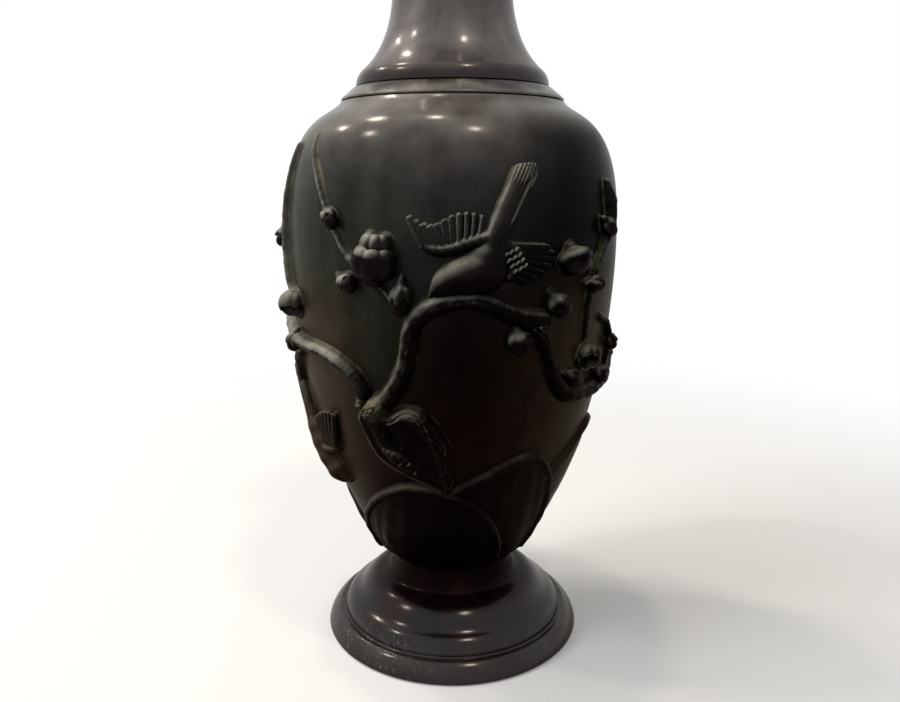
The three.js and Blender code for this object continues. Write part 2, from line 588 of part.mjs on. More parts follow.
function casting(name, shape, finish) {
  const { vertProperties, triVerts } = shape.getMesh();
  const geometry = new THREE.BufferGeometry();
  geometry.setAttribute("position", new THREE.BufferAttribute(vertProperties, 3));
  geometry.setIndex(new THREE.BufferAttribute(triVerts, 1));
  geometry.computeVertexNormals();
  const mesh = new THREE.Mesh(geometry, finish);
  mesh.name = name;
  return mesh;
}

// Do the boxes of two solids meet?
function near(one, other) {
  const [a, b] = [one.boundingBox(), other.boundingBox()];
  return [0, 1, 2].every((i) => a.min[i] < b.max[i] && b.min[i] < a.max[i]);
}

// Fits each ornament to the body and round the ornaments before it.
function fitted(ornaments) {
  const fittedShapes = [];
  const cutters = [];
  for (const [name, make] of Object.entries(ornaments)) {
    const free = cutters
      .filter((cutter) => near(cutter, make(0)))
      .reduce((shape, cutter) => shape.subtract(cutter), make(0).subtract(core));
    fittedShapes.push([name, largest(free)]);
    cutters.push(make(GAP));
  }
  return fittedShapes;
}

const vase = new THREE.Group();
const castings = { foot, base_plate: basePlate, body, shoulder_collar: shoulderCollar, neck };
for (const [name, make] of Object.entries(castings)) {
  vase.add(casting(name, make(), FINISH.turned));
}
const relief = new THREE.Group();
for (const [name, shape] of fitted(ORNAMENTS)) {
  relief.add(casting(name, shape, FINISH.ornament));
}
vase.add(relief);

export default vase;
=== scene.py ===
"""A cast bronze bud vase with birds, plum branches and hills in relief: its looks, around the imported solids.

Lengths are millimetres, and metres only where a mesh or a lamp is made. The vase stands on z = 0,
and its front faces -Y. A place on the body is given in degrees round from the front, growing
towards +X, and in per cent of the body's height, from 0 at the waist to 100 at the shoulder.
"""

import math

import bpy
import numpy as np
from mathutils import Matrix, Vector


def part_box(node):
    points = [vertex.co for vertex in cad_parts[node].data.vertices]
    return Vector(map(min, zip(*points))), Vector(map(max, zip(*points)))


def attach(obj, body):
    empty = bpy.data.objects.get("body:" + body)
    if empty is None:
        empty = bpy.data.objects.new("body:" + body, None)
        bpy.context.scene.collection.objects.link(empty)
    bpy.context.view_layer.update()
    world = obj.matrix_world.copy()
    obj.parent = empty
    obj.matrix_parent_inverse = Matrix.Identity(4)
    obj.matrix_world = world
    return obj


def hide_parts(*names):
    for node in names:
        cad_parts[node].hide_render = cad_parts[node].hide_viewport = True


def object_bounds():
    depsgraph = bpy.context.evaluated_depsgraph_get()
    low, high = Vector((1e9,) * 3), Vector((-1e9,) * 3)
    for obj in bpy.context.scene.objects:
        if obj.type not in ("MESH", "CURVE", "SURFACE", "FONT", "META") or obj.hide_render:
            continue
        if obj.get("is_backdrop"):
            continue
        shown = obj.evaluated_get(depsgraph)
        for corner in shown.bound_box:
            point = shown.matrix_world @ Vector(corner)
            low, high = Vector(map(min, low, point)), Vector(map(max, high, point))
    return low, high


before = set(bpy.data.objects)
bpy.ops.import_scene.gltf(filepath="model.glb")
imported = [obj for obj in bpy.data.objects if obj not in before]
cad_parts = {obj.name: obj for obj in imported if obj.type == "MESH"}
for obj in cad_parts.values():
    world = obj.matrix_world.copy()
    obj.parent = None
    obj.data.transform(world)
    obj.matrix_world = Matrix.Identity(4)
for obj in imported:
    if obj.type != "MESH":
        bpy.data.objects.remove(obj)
CAD_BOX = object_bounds()

MM = 0.001
GAP = 0.3  # clearance between castings that meet
GROOVE = 0.3  # depth of the fine lines cut round the castings
SAME_SUM = 0.0005  # difference of two sums of coordinates that counts as none
CLOSE = 0.36  # distance of two points that may be taken for one
NUDGE = (0.0006, 0.003)  # least and greatest move of such a point
STRAIGHT = -0.94  # cosine of a corner that is left as it is
MARGIN = 3  # of a patch round the stations of its piece


def node_top(node):
    """Height of a node's upper end in millimetres."""
    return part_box(node)[1].z / MM


def node_radius(node):
    """Radius of a turned node in millimetres."""
    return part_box(node)[1].x / MM


FOOT_RADIUS = node_radius("foot")
FOOT_HEIGHT = node_top("foot")
FOOT_BEVEL = 0.8
FOOT_STEP_RADIUS = 45.4
FOOT_STEP_HEIGHT = 6.9
FOOT_STEP_WIDTH = 2.3
FOOT_RING_RADIUS = 37.4
FOOT_RING_HEIGHT = 13.9
FOOT_BROW_RADIUS = 30
FOOT_BROW_HEIGHT = 20.7
STEM_RADIUS = 23.6
PLATE_RADIUS = node_radius("base_plate")
PLATE_TOP = node_top("base_plate")
PLATE_THICKNESS = 2

WAIST_RADIUS = 25
WAIST_Z = FOOT_HEIGHT + GAP
BELLY_RADIUS = node_radius("body")
BELLY_Z = WAIST_Z + 123.9
SHOULDER_RADIUS = 39.6
SHOULDER_Z = node_top("body")
BODY_WALL = 3
TENON_RADIUS = 19.6
TENON_LENGTH = 8.2
MOUTH_BORE = 27

COLLAR_Z = SHOULDER_Z + GAP
COLLAR_TOP = node_top("shoulder_collar")
COLLAR_SPIGOT = 6
COLLAR_WALL = 2.4
COLLAR_EDGE = 0.7
COLLAR_LEDGE = 0.8

NECK_Z = COLLAR_TOP + GAP
NECK_TOP = node_top("neck")
SKIRT_RADIUS = 34.2
SKIRT_ROLL = 5.2
SKIRT_STEP = 2
THROAT_RADIUS = 20.7
THROAT_HEIGHT = 33.7
LIP_RADIUS = 36.3
LIP_ROLL = 2.5
NECK_WALL = 2.6
NECK_SPIGOT = 9


# Curves and outlines in the plane of (radius, height).


def bezier(*points, steps=24):
    """Points along a Bezier curve of any degree."""
    share = np.linspace(0, 1, steps + 1)[:, None]
    level = [np.asarray(point, float) for point in points]
    while len(level) > 1:
        level = [a + (b - a) * share for a, b in zip(level, level[1:])]
    return level[0]


def arc(centre, radius, start, end, steps):
    """Points of a circular arc between two angles in degrees."""
    turn = np.radians(np.linspace(start, end, steps + 1))
    return np.column_stack([centre[0] + radius * np.cos(turn), centre[1] + radius * np.sin(turn)])


def outline(*pieces):
    """One closed outline from points and rows of points."""
    return np.vstack([np.atleast_2d(np.asarray(piece, float)) for piece in pieces])


def spaced(line, pitch):
    """The same open line with points at an even spacing."""
    steps = np.hypot(*np.diff(line, axis=0).T)
    travel = np.concatenate([[0], np.cumsum(steps)])
    count = max(2, int(round(travel[-1] / pitch)) + 1)
    even = np.linspace(0, travel[-1], count)
    return np.column_stack([np.interp(even, travel, line[:, 0]), np.interp(even, travel, line[:, 1])])


def softened(line, reach):
    """The same closed outline with each sharp corner rounded over a short reach."""
    count = len(line)
    result = []
    for i, point in enumerate(line):
        before = line[i - 1] - point
        after = line[(i + 1) % count] - point
        lengths = np.hypot(*before), np.hypot(*after)
        if min(lengths) < 1e-6:
            continue
        cosine = before @ after / (lengths[0] * lengths[1])
        if cosine < STRAIGHT:
            result.append(point[None])
            continue
        start = point + before / lengths[0] * min(reach, 0.45 * lengths[0])
        end = point + after / lengths[1] * min(reach, 0.45 * lengths[1])
        result.append(bezier(start, point, end, steps=4))
    return np.vstack(result)


# Meshes.


def told_apart(points):
    """Moves close points by a few thousandths of a millimetre until their coordinates' sums differ.

    The node that finds sharp edges takes two close points with the same sum for one point, and
    shows a bright dot there.
    """
    points = np.array(points, float)
    random = np.random.default_rng(5)
    for _ in range(8):
        total = points.sum(axis=1)
        order = np.argsort(total)
        for shift in (1, 2, 3):
            a, b = order[:-shift], order[shift:]
            near = np.linalg.norm(points[b] - points[a], axis=1) < CLOSE
            alike = (total[b] - total[a] < SAME_SUM) & near
            points[b[alike]] += random.uniform(*NUDGE, (int(alike.sum()), 1))
    return points


def mesh_object(name, points, faces, **attributes):
    """A mesh object from points in millimetres, with one named number per point for each attribute."""
    mesh = bpy.data.meshes.new(name)
    mesh.from_pydata((told_apart(points) * MM).tolist(), [], np.asarray(faces).tolist())
    for key, values in attributes.items():
        layer = mesh.attributes.new(key, "FLOAT", "POINT")
        layer.data.foreach_set("value", np.asarray(values, np.float32).ravel())
    mesh.validate()
    mesh.shade_smooth()
    piece = bpy.data.objects.new(name, mesh)
    bpy.context.scene.collection.objects.link(piece)
    return piece


def finish(piece, node, material):
    """Hands a finished piece to the frame in place of its node."""
    piece.data.materials.append(material)
    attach(piece, "root")
    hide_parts(node)


def grid_faces(rows, columns):
    """Faces of a sheet of rows and columns that closes on itself both ways."""
    i, j = np.meshgrid(np.arange(rows), np.arange(columns), indexing="ij")
    below, after = (i + 1) % rows, (j + 1) % columns
    quads = np.stack([i * columns + j, below * columns + j, below * columns + after, i * columns + after], -1)
    return quads.reshape(-1, 4)


def unevenness(angle, height, seed, size):
    """Low waves that a hand-finished casting keeps on its surface, in millimetres."""
    random = np.random.default_rng(seed)
    total = np.zeros(np.broadcast(angle, height).shape)
    for around in (2, 3, 5, 7, 9, 12):
        phase = random.uniform(0, 2 * np.pi, 2)
        pitch = random.uniform(14, 50)
        total += np.sin(around * angle + phase[0]) * np.sin(2 * np.pi * height / pitch + phase[1]) / around
    return size * total


# The body's outside as a surface to model on.


def body_line():
    """The body's outside from the waist up to the shoulder."""
    waist = np.array([WAIST_RADIUS, WAIST_Z])
    belly = np.array([BELLY_RADIUS, BELLY_Z])
    shoulder = np.array([SHOULDER_RADIUS, SHOULDER_Z])
    below, above = belly - waist, shoulder - belly
    swell = bezier(waist, waist + (0.44, 0.17) * below, belly - (0, 0.53) * below, belly, steps=200)
    round_off = bezier(belly, belly + (0, 0.93) * above, shoulder - (0.22, 0.14) * above, shoulder, steps=160)
    return spaced(np.vstack([swell, round_off[1:]]), 0.5)


BODY = body_line()
BODY_TRAVEL = np.concatenate([[0], np.cumsum(np.hypot(*np.diff(BODY, axis=0).T))])
BODY_RUN = np.gradient(BODY, BODY_TRAVEL, axis=0)


def travel(percent):
    """Distance along the body's outside, up from the waist, at a per cent of its height."""
    height = WAIST_Z + np.asarray(percent, float) / 100 * (SHOULDER_Z - WAIST_Z)
    return np.interp(height, BODY[:, 1], BODY_TRAVEL)


def on_body(degrees, up, out):
    """Points in space for degrees round, travel up the body and height out of its surface."""
    radius = np.interp(up, BODY_TRAVEL, BODY[:, 0])
    height = np.interp(up, BODY_TRAVEL, BODY[:, 1])
    lean = np.interp(up, BODY_TRAVEL, BODY_RUN[:, 1]), np.interp(up, BODY_TRAVEL, -BODY_RUN[:, 0])
    radius = radius + out * lean[0]
    height = height + out * lean[1]
    turn = np.radians(degrees)
    return np.stack([radius * np.sin(turn), -radius * np.cos(turn), height], -1)


def blend(a, b, reach):
    """The union of two solids given by distance, with a soft fillet between them."""
    share = np.clip(0.5 + 0.5 * (b - a) / reach, 0, 1)
    return b + (a - b) * share - reach * share * (1 - share)


def cut(axis, part, rest):
    """An index that takes one part along an axis, and another part along the other two."""
    return tuple(part if a == axis else rest for a in range(3))


def surface_net(field):
    """Points, in steps of the grid, and faces of the surface where a field on a grid is zero."""
    inside = field < 0
    cells = tuple(n - 1 for n in field.shape)
    total = np.zeros(cells + (3,), np.float32)
    count = np.zeros(cells, np.float32)
    for axis in range(3):
        others = [a for a in range(3) if a != axis]
        low, high = (cut(axis, part, slice(None)) for part in (slice(0, -1), slice(1, None)))
        a, b = field[low], field[high]
        crossing = inside[low] != inside[high]
        share = np.where(crossing, a / np.where(crossing, a - b, 1), 0)
        for shift in ((0, 0), (0, 1), (1, 0), (1, 1)):
            window = [slice(None)] * 3
            for other, step in zip(others, shift):
                window[other] = slice(step, step + cells[other])
            mask = crossing[tuple(window)]
            count += mask
            for other, step in zip(others, shift):
                total[..., other] += mask * step
            total[..., axis] += np.where(mask, share[tuple(window)], 0)
    active = count > 0
    number = np.full(cells, -1, np.int64)
    number[active] = np.arange(active.sum())
    corner = np.stack(np.nonzero(active), -1)
    points = corner + total[active] / count[active][:, None]
    faces = []
    for axis in range(3):
        u, v = [a for a in range(3) if a != axis]
        low, high = (cut(axis, part, slice(1, -1)) for part in (slice(0, -1), slice(1, None)))
        change = inside[low].astype(np.int8) - inside[high].astype(np.int8)
        place = np.stack(np.nonzero(change), -1)
        sign = change[tuple(place.T)]
        base = place.copy()
        base[:, [u, v]] += 1
        ring = []
        for du, dv in ((0, 0), (1, 0), (1, 1), (0, 1)):
            cell = base.copy()
            cell[:, u] -= du
            cell[:, v] -= dv
            ring.append(number[tuple(cell.T)])
        quads = np.stack(ring, -1)
        flip = sign < 0 if axis != 1 else sign > 0
        quads[flip] = quads[flip][:, ::-1]
        faces.append(quads)
    return points, np.vstack(faces)


class Patch:
    """A block of space over part of the body, on which a piece of relief is modelled."""

    def __init__(self, degrees, percents, top, pitch, base=-0.8):
        up = travel(percents[0]) - MARGIN, travel(percents[1]) + MARGIN
        self.up = np.arange(up[0], up[1], pitch)
        self.scale = np.radians(np.interp(self.up, BODY_TRAVEL, BODY[:, 0]))[None, :]
        step = pitch / self.scale.mean()
        margin = MARGIN / self.scale.mean()
        self.degrees = np.arange(degrees[0] - margin, degrees[1] + margin, step)
        self.out = np.arange(base - pitch, top + 2 * pitch, pitch, dtype=np.float32)
        self.east = self.degrees[:, None]
        self.north = self.up[None, :]
        self.height = self.out[None, None, :]
        self.base = base

    def away(self, degrees, up):
        """Millimetres east and north of a place."""
        return (self.east - degrees) * self.scale, self.north - up + 0 * self.east

    def piece(self, node, field, skirt=1.8, reach=3.0, near=None, tone=None):
        """Makes the piece of a field in three dimensions, joined to the body by a soft skirt.

        near holds the distance from the piece's footprint, and the skirt ends at reach. tone is 1
        where the metal is bare and dark, 2 in a hollow where shade is painted, and -1 where a dull
        deposit lies thick.
        """
        field = np.asarray(field, np.float32)
        if near is None:
            near = field[:, :, int(np.searchsorted(self.out, 0.3))]
        field = blend(field, self.height + 0.12, skirt)
        field = np.maximum(field, (near - reach)[:, :, None])
        field = np.maximum(field, self.base - self.height)
        field[[0, -1]] = 1
        field[:, [0, -1]] = 1
        field[:, :, -1] = 1
        steps, faces = surface_net(field)
        grid = enumerate((self.degrees, self.up, self.out))
        degrees, up, out = (np.interp(steps[:, k], np.arange(len(line)), line) for k, line in grid)
        cell = tuple(np.rint(steps).astype(int).T)
        tone = 0 * out if tone is None else np.broadcast_to(tone, field.shape)[cell]
        piece = mesh_object(node + "_casting", on_body(degrees, up, out), faces, out=out, tone=tone)
        finish(piece, node, RELIEF)


def smooth_line(stations, steps=8):
    """A smooth line through stations of [degrees, per cent, ...], with the other columns carried along."""
    rows = np.array(stations, float)
    rows[:, 1] = travel(rows[:, 1])
    padded = np.vstack([2 * rows[0] - rows[1], rows, 2 * rows[-1] - rows[-2]])
    line = []
    for a, b, c, d in zip(padded, padded[1:], padded[2:], padded[3:]):
        share = np.linspace(0, 1, steps, endpoint=False)[:, None]
        bend, twist = 2 * a - 5 * b + 4 * c - d, 3 * b - 3 * c + d - a
        line.append(0.5 * (2 * b + (c - a) * share + bend * share**2 + twist * share**3))
    return np.vstack(line + [rows[-1:]])


class Strand:
    """The nearest point of a smooth line for each place of a patch."""

    def __init__(self, patch, stations, steps=8):
        line = smooth_line(stations, steps)
        shape = np.broadcast(patch.east, patch.north).shape
        self.distance = np.full(shape, 1e9)
        self.side = np.zeros(shape)
        self.along = np.zeros(shape)
        self.columns = [np.zeros(shape) for _ in range(line.shape[1] - 2)]
        start = 0.0
        for a, b in zip(line, line[1:]):
            ax, ay = (a[0] - patch.east) * patch.scale, a[1] - patch.north
            bx, by = (b[0] - patch.east) * patch.scale, b[1] - patch.north
            dx, dy = bx - ax, by - ay
            length = np.sqrt(dx**2 + dy**2) + 1e-9
            share = np.clip(-(ax * dx + ay * dy) / length**2, 0, 1)
            x, y = ax + share * dx, ay + share * dy
            distance = np.sqrt(x**2 + y**2)
            closer = distance < self.distance
            self.distance = np.where(closer, distance, self.distance)
            self.side = np.where(closer, np.sign(dx * y - dy * x) * -distance, self.side)
            self.along = np.where(closer, start + share * length, self.along)
            for k, column in enumerate(self.columns):
                self.columns[k] = np.where(closer, a[k + 2] + share * (b[k + 2] - a[k + 2]), column)
            start += float(length.mean())

    def limb(self, patch, swell=0.0):
        """A limb of elliptic section whose columns are half width and height proud."""
        half, proud = (column * (1 + swell) for column in self.columns)
        centre = (proud - half) / 2
        rise = (proud + half) / 2
        across = (self.distance / half)[:, :, None]
        over = (patch.height - centre[:, :, None]) / rise[:, :, None]
        return (np.sqrt(across**2 + over**2) - 1) * np.minimum(half, rise)[:, :, None]


# Materials.


class Nodes:
    """A material's or world's node tree. A value is a socket, a number or a tuple."""

    def __init__(self, owner):
        self.owner = owner
        owner.use_nodes = True
        self.tree = owner.node_tree

    def fill(self, node, **values):
        """Links or sets a node's sockets, by name or as i with a number."""
        for key, value in values.items():
            socket = node.inputs[int(key[1:]) if key[1:].isdigit() else key.replace("_", " ")]
            if isinstance(value, bpy.types.NodeSocket):
                self.tree.links.new(value, socket)
            elif isinstance(value, tuple) and len(value) < len(socket.default_value):
                socket.default_value = (*value, 1)
            else:
                socket.default_value = value
        return node

    def add(self, kind, settings=(), **values):
        node = self.tree.nodes.new("ShaderNode" + kind)
        for key, value in dict(settings).items():
            setattr(node, key, value)
        return self.fill(node, **values)

    def math(self, operation, *values):
        node = self.add("Math", {"operation": operation})
        return self.fill(node, **{"i%d" % i: value for i, value in enumerate(values)}).outputs[0]

    def times(self, first, *others):
        """The product of values."""
        for other in others:
            first = self.math("MULTIPLY", first, other)
        return first

    def mix(self, factor, a, b, kind="MIX"):
        """The colour between two others, or with MULTIPLY the first one tinted with the second."""
        settings = {"data_type": "RGBA", "blend_type": kind}
        return self.add("Mix", settings, i0=factor, i6=a, i7=b).outputs[2]

    def ramp(self, value, low, high, start=0.0, end=1.0):
        """A smooth step of a value from start at low to end at high."""
        settings = {"interpolation_type": "SMOOTHSTEP"}
        return self.add("MapRange", settings, i0=value, i1=low, i2=high, i3=start, i4=end).outputs[0]

    def noise(self, where, scale, detail, roughness=0.55):
        node = self.add("TexNoise", Vector=where, Scale=scale, Detail=detail, Roughness=roughness)
        return node.outputs["Fac"]

    def gradient(self, value, stops):
        """A colour that follows a value through stops of a position and one number or three."""
        node = self.add("ValToRGB", i0=value)
        elements = node.color_ramp.elements
        while len(elements) < len(stops):
            elements.new(0.5)
        for element, (position, *colour) in zip(elements, stops):
            element.position = position
            element.color = (*(colour * 3)[:3], 1)
        return node.outputs[0]

    def seen(self):
        """1 for rays that look at a thing or its reflection, and 0 for those that light other things."""
        rays = self.add("LightPath").outputs
        looking = self.math("MAXIMUM", rays["Is Camera Ray"], rays["Is Glossy Ray"])
        return self.math("MAXIMUM", looking, rays["Is Transmission Ray"])


# The patina's own colours carry painted light: lighter on the shoulder and neck, where light falls from above,
# and darker on the lower body and the foot's stem, where shade and dark reflections are painted.
PATINA_AND_PAINTED_LIGHT = [  # share of the vase's height, colour, with painted light and shade in it
    (0, 0.01, 0.003, 0.0025), (0.006, 0.014, 0.005, 0.004), (0.014, 0.028, 0.023, 0.022),
    (0.024, 0.028, 0.024, 0.0235), (0.045, 0.006, 0.0045, 0.005), (0.061, 0.008, 0.0055, 0.006),
    (0.069, 0.005, 0.0012, 0.0012), (0.1, 0.003, 0.0007, 0.0007), (0.16, 0.0035, 0.0011, 0.0011),
    (0.25, 0.009, 0.0035, 0.003), (0.36, 0.0045, 0.0012, 0.0011), (0.44, 0.005, 0.0022, 0.002),
    (0.51, 0.015, 0.013, 0.012), (0.57, 0.028, 0.025, 0.024), (0.62, 0.062, 0.056, 0.053),
    (0.655, 0.12, 0.11, 0.1), (0.668, 0.17, 0.158, 0.142), (0.674, 0.014, 0.0085, 0.008),
    (0.686, 0.026, 0.018, 0.017), (0.697, 0.075, 0.064, 0.062), (0.72, 0.13, 0.118, 0.117),
    (1, 0.125, 0.113, 0.112),
]
GLOSS = [  # share of the vase's height, weight of the thin polish
    (0, 0.55), (0.058, 0.5), (0.072, 0.05), (0.1, 0.012), (0.4, 0.012), (0.55, 0.12), (0.64, 0.5), (1, 0.6),
]
STREAKS = [(0.3, 0.78, 0.76, 0.74), (0.7, 1.22, 1.24, 1.26)]  # tint by a noise drawn out upwards
SPECKLES = [(0.25, 0.65), (0.75, 1.35, 1.33, 1.27)]  # tint by the fine noise
OLIVE_AND_PAINTED_LIGHT = (0.036, 0.037, 0.028)  # of the left side: an olive tint, with painted light from the left
PAINTED_RIM_REFLECTION = (0.13, 0.13, 0.106)  # painted reflection, pale, along the left side's rim
SHADE = (0.003, 0.002, 0.0016)  # of the right side
PAINTED_FLANK_REFLECTION = (0.055, 0.037, 0.024)  # painted warm reflection on both sides low down
BROWN = (0.045, 0.029, 0.027)  # of the upper neck's right half
PAINTED_UNDERSIDE_SHADE = (0.3, 0.17, 0.15)  # painted shade, a dark red tint, of undersides
DUST_AND_PAINTED_LIGHT = (0.3, 0.292, 0.255)  # of what faces up: dust, and painted light on faces turned up and to the left
EARTH_AND_PAINTED_LIGHT = (0.19, 0.158, 0.13)  # the same dust, wear and painted light low on the vase
STAIN = (0.014, 0.0045, 0.004)  # red patches of the foot
BARE = (0.004, 0.0012, 0.001)  # of the buds' bare balls
PAINTED_PIT_SHADE = (0.0008, 0.0006, 0.0008)  # painted shade of the trunk's hollow
DEPOSIT = (0.2, 0.18, 0.1)  # dull yellow green in the hollows
WORN_AND_PAINTED_HIGHLIGHT = (0.3, 0.292, 0.262)  # of edges that hands have polished and of the foot's scratches; on relief edges turned up and to the left also a painted highlight
PAINTED_LIGHT_LEAN = (-0.5, 0, 0.87)  # up and to the left, the way the painted light on edges and dusty faces comes from

NOISES = {"broad": (18, 3), "patches": (60, 4), "fine": (130, 5), "speck": (1000, 3)}  # scale, detail
STREAK_NOISE = (90, 3)
STREAK_STRETCH = (1, 1, 0.1)
HAIR_NOISE = (600, 6, 0.75)
DRIFT = (0.1, -0.05)  # slope and offset of the share by which the broad noise moves the patina

# Each mask is a product of smooth steps over what it names: from where to where, and from which
# strength to which if it isn't 0 to 1. share is the share of the vase's height, x is in metres, out
# is the millimetres proud of the body, facing and lean are 1 where a face looks up or up and to the
# left, the way the painted light comes from, bent is over 0.5 on edges and under it in hollows, and
# tone is what Patch.piece explains.
MASKS = {
    "drift": [("share", 0.11, 0.2)],
    # painted light, olive, on the left side
    "left": [("x", 0.004, -0.04), ("share", 0.24, 0.42), ("share", 0.62, 0.56)],
    "right": [("x", 0, 0.038), ("share", 0.36, 0.46), ("share", 0.66, 0.615), ("x", 0.06, 0.046)],
    # painted reflection along the left rim
    "rim": [("x", -0.05, -0.062, 0, 0.8), ("share", 0.3, 0.42)],
    # painted warm reflection on both flanks low down
    "flank_left": [("x", -0.022, -0.052)],
    "flank_right": [("x", 0.004, 0.05, 0, 0.65)],
    "flank": [("share", 0.1, 0.16), ("share", 0.5, 0.4)],
    "flank_relief": [("share", 0.3, 0.25, 0.15, 0.95)],
    "stain": [("patches", 0.46, 0.6, 0, 0.7), ("share", 0.12, 0.06)],
    "brown": [("share", 0.735, 0.78), ("x", -0.006, 0.012, 0, 0.7)],
    "scratch": [("hairs", 0.57, 0.65, 0, 0.5), ("x", -0.002, -0.02), ("share", 0.045, 0.025)],
    # painted shade under things
    "underside": [("facing", 0.1, -0.35, 0, 0.85)],
    # wear, and painted highlight on edges turned up and to the left
    "edge": [
        ("bent", 0.508, 0.57), ("fine", 0.35, 0.6, 0.3, 0.85), ("lean", -0.35, 0.2, 0.12, 1),
        ("out", 0.4, 1.4), ("bent", 0.68, 0.62),
    ],
    "low_down": [("share", 0.42, 0.28)],
    # dust, and painted light on faces turned up and to the left
    "dust_and_painted_light": [
        ("lean", 0.15, 0.9), ("fine", 0.3, 0.65, 0.45, 1), ("out", 0.6, 2.4, 0.35, 1),
        ("share", 0.12, 0.45, 0.5, 0.9), ("share", 0.64, 0.56, 0.25, 1),
    ],
    "bare": [("tone", 0.2, 0.9)],
    # painted shade in the trunk's hollow
    "pit_shade": [("tone", 1.2, 1.9)],
    "low": [("out", 0.8, 0.1, 0, 0.8)],
    "bent_in": [("bent", 0.49, 0.43)],
    "hollow": [
        ("broad", 0.4, 0.62), ("fine", 0.42, 0.58, 0.08, 0.85), ("share", 0.25, 0.42, 0.15, 1),
        ("facing", -0.15, 0.2, 0.25, 1), ("tone", 0.6, 0.1),
    ],
    "knot": [("tone", -0.2, -0.9), ("fine", 0.42, 0.56, 0.05, 0.9), ("facing", -0.2, 0.4, 0.15, 1)],
    "polish": [("share", 0.42, 0.5, 0.03, 0.09), ("tone", 1.5, 1.1)],
}
OLIVE_AND_PAINTED_LIGHT_WEIGHT = (0.6, 0.3)  # on turned pieces, on relief
SHADE_WEIGHT = 0.85
PAINTED_FLANK_REFLECTION_WEIGHT = 0.85  # on turned pieces
BARE_WEIGHT = 0.97
RELIEF_POLISH = 0.3  # share of a turned piece's polish
EDGE_POLISH = 0.5
EDGE_METAL = 0.5
DULLED = -0.9  # change of the polish under the deposit
ROUGHNESS = (0.2, 0.32)  # slope and offset over the fine noise
COAT_ROUGHNESS = (0.16, 0.3)  # on turned pieces, on relief
SPECULAR_LEVEL = 0.006
SPECULAR_TINT = (0.8, 0.77, 0.72)
SPECK_HEIGHT = 0.3
BUMP_STRENGTH = (0.15, 0.35)  # on turned pieces, on relief
BUMP_DISTANCE = 0.0003


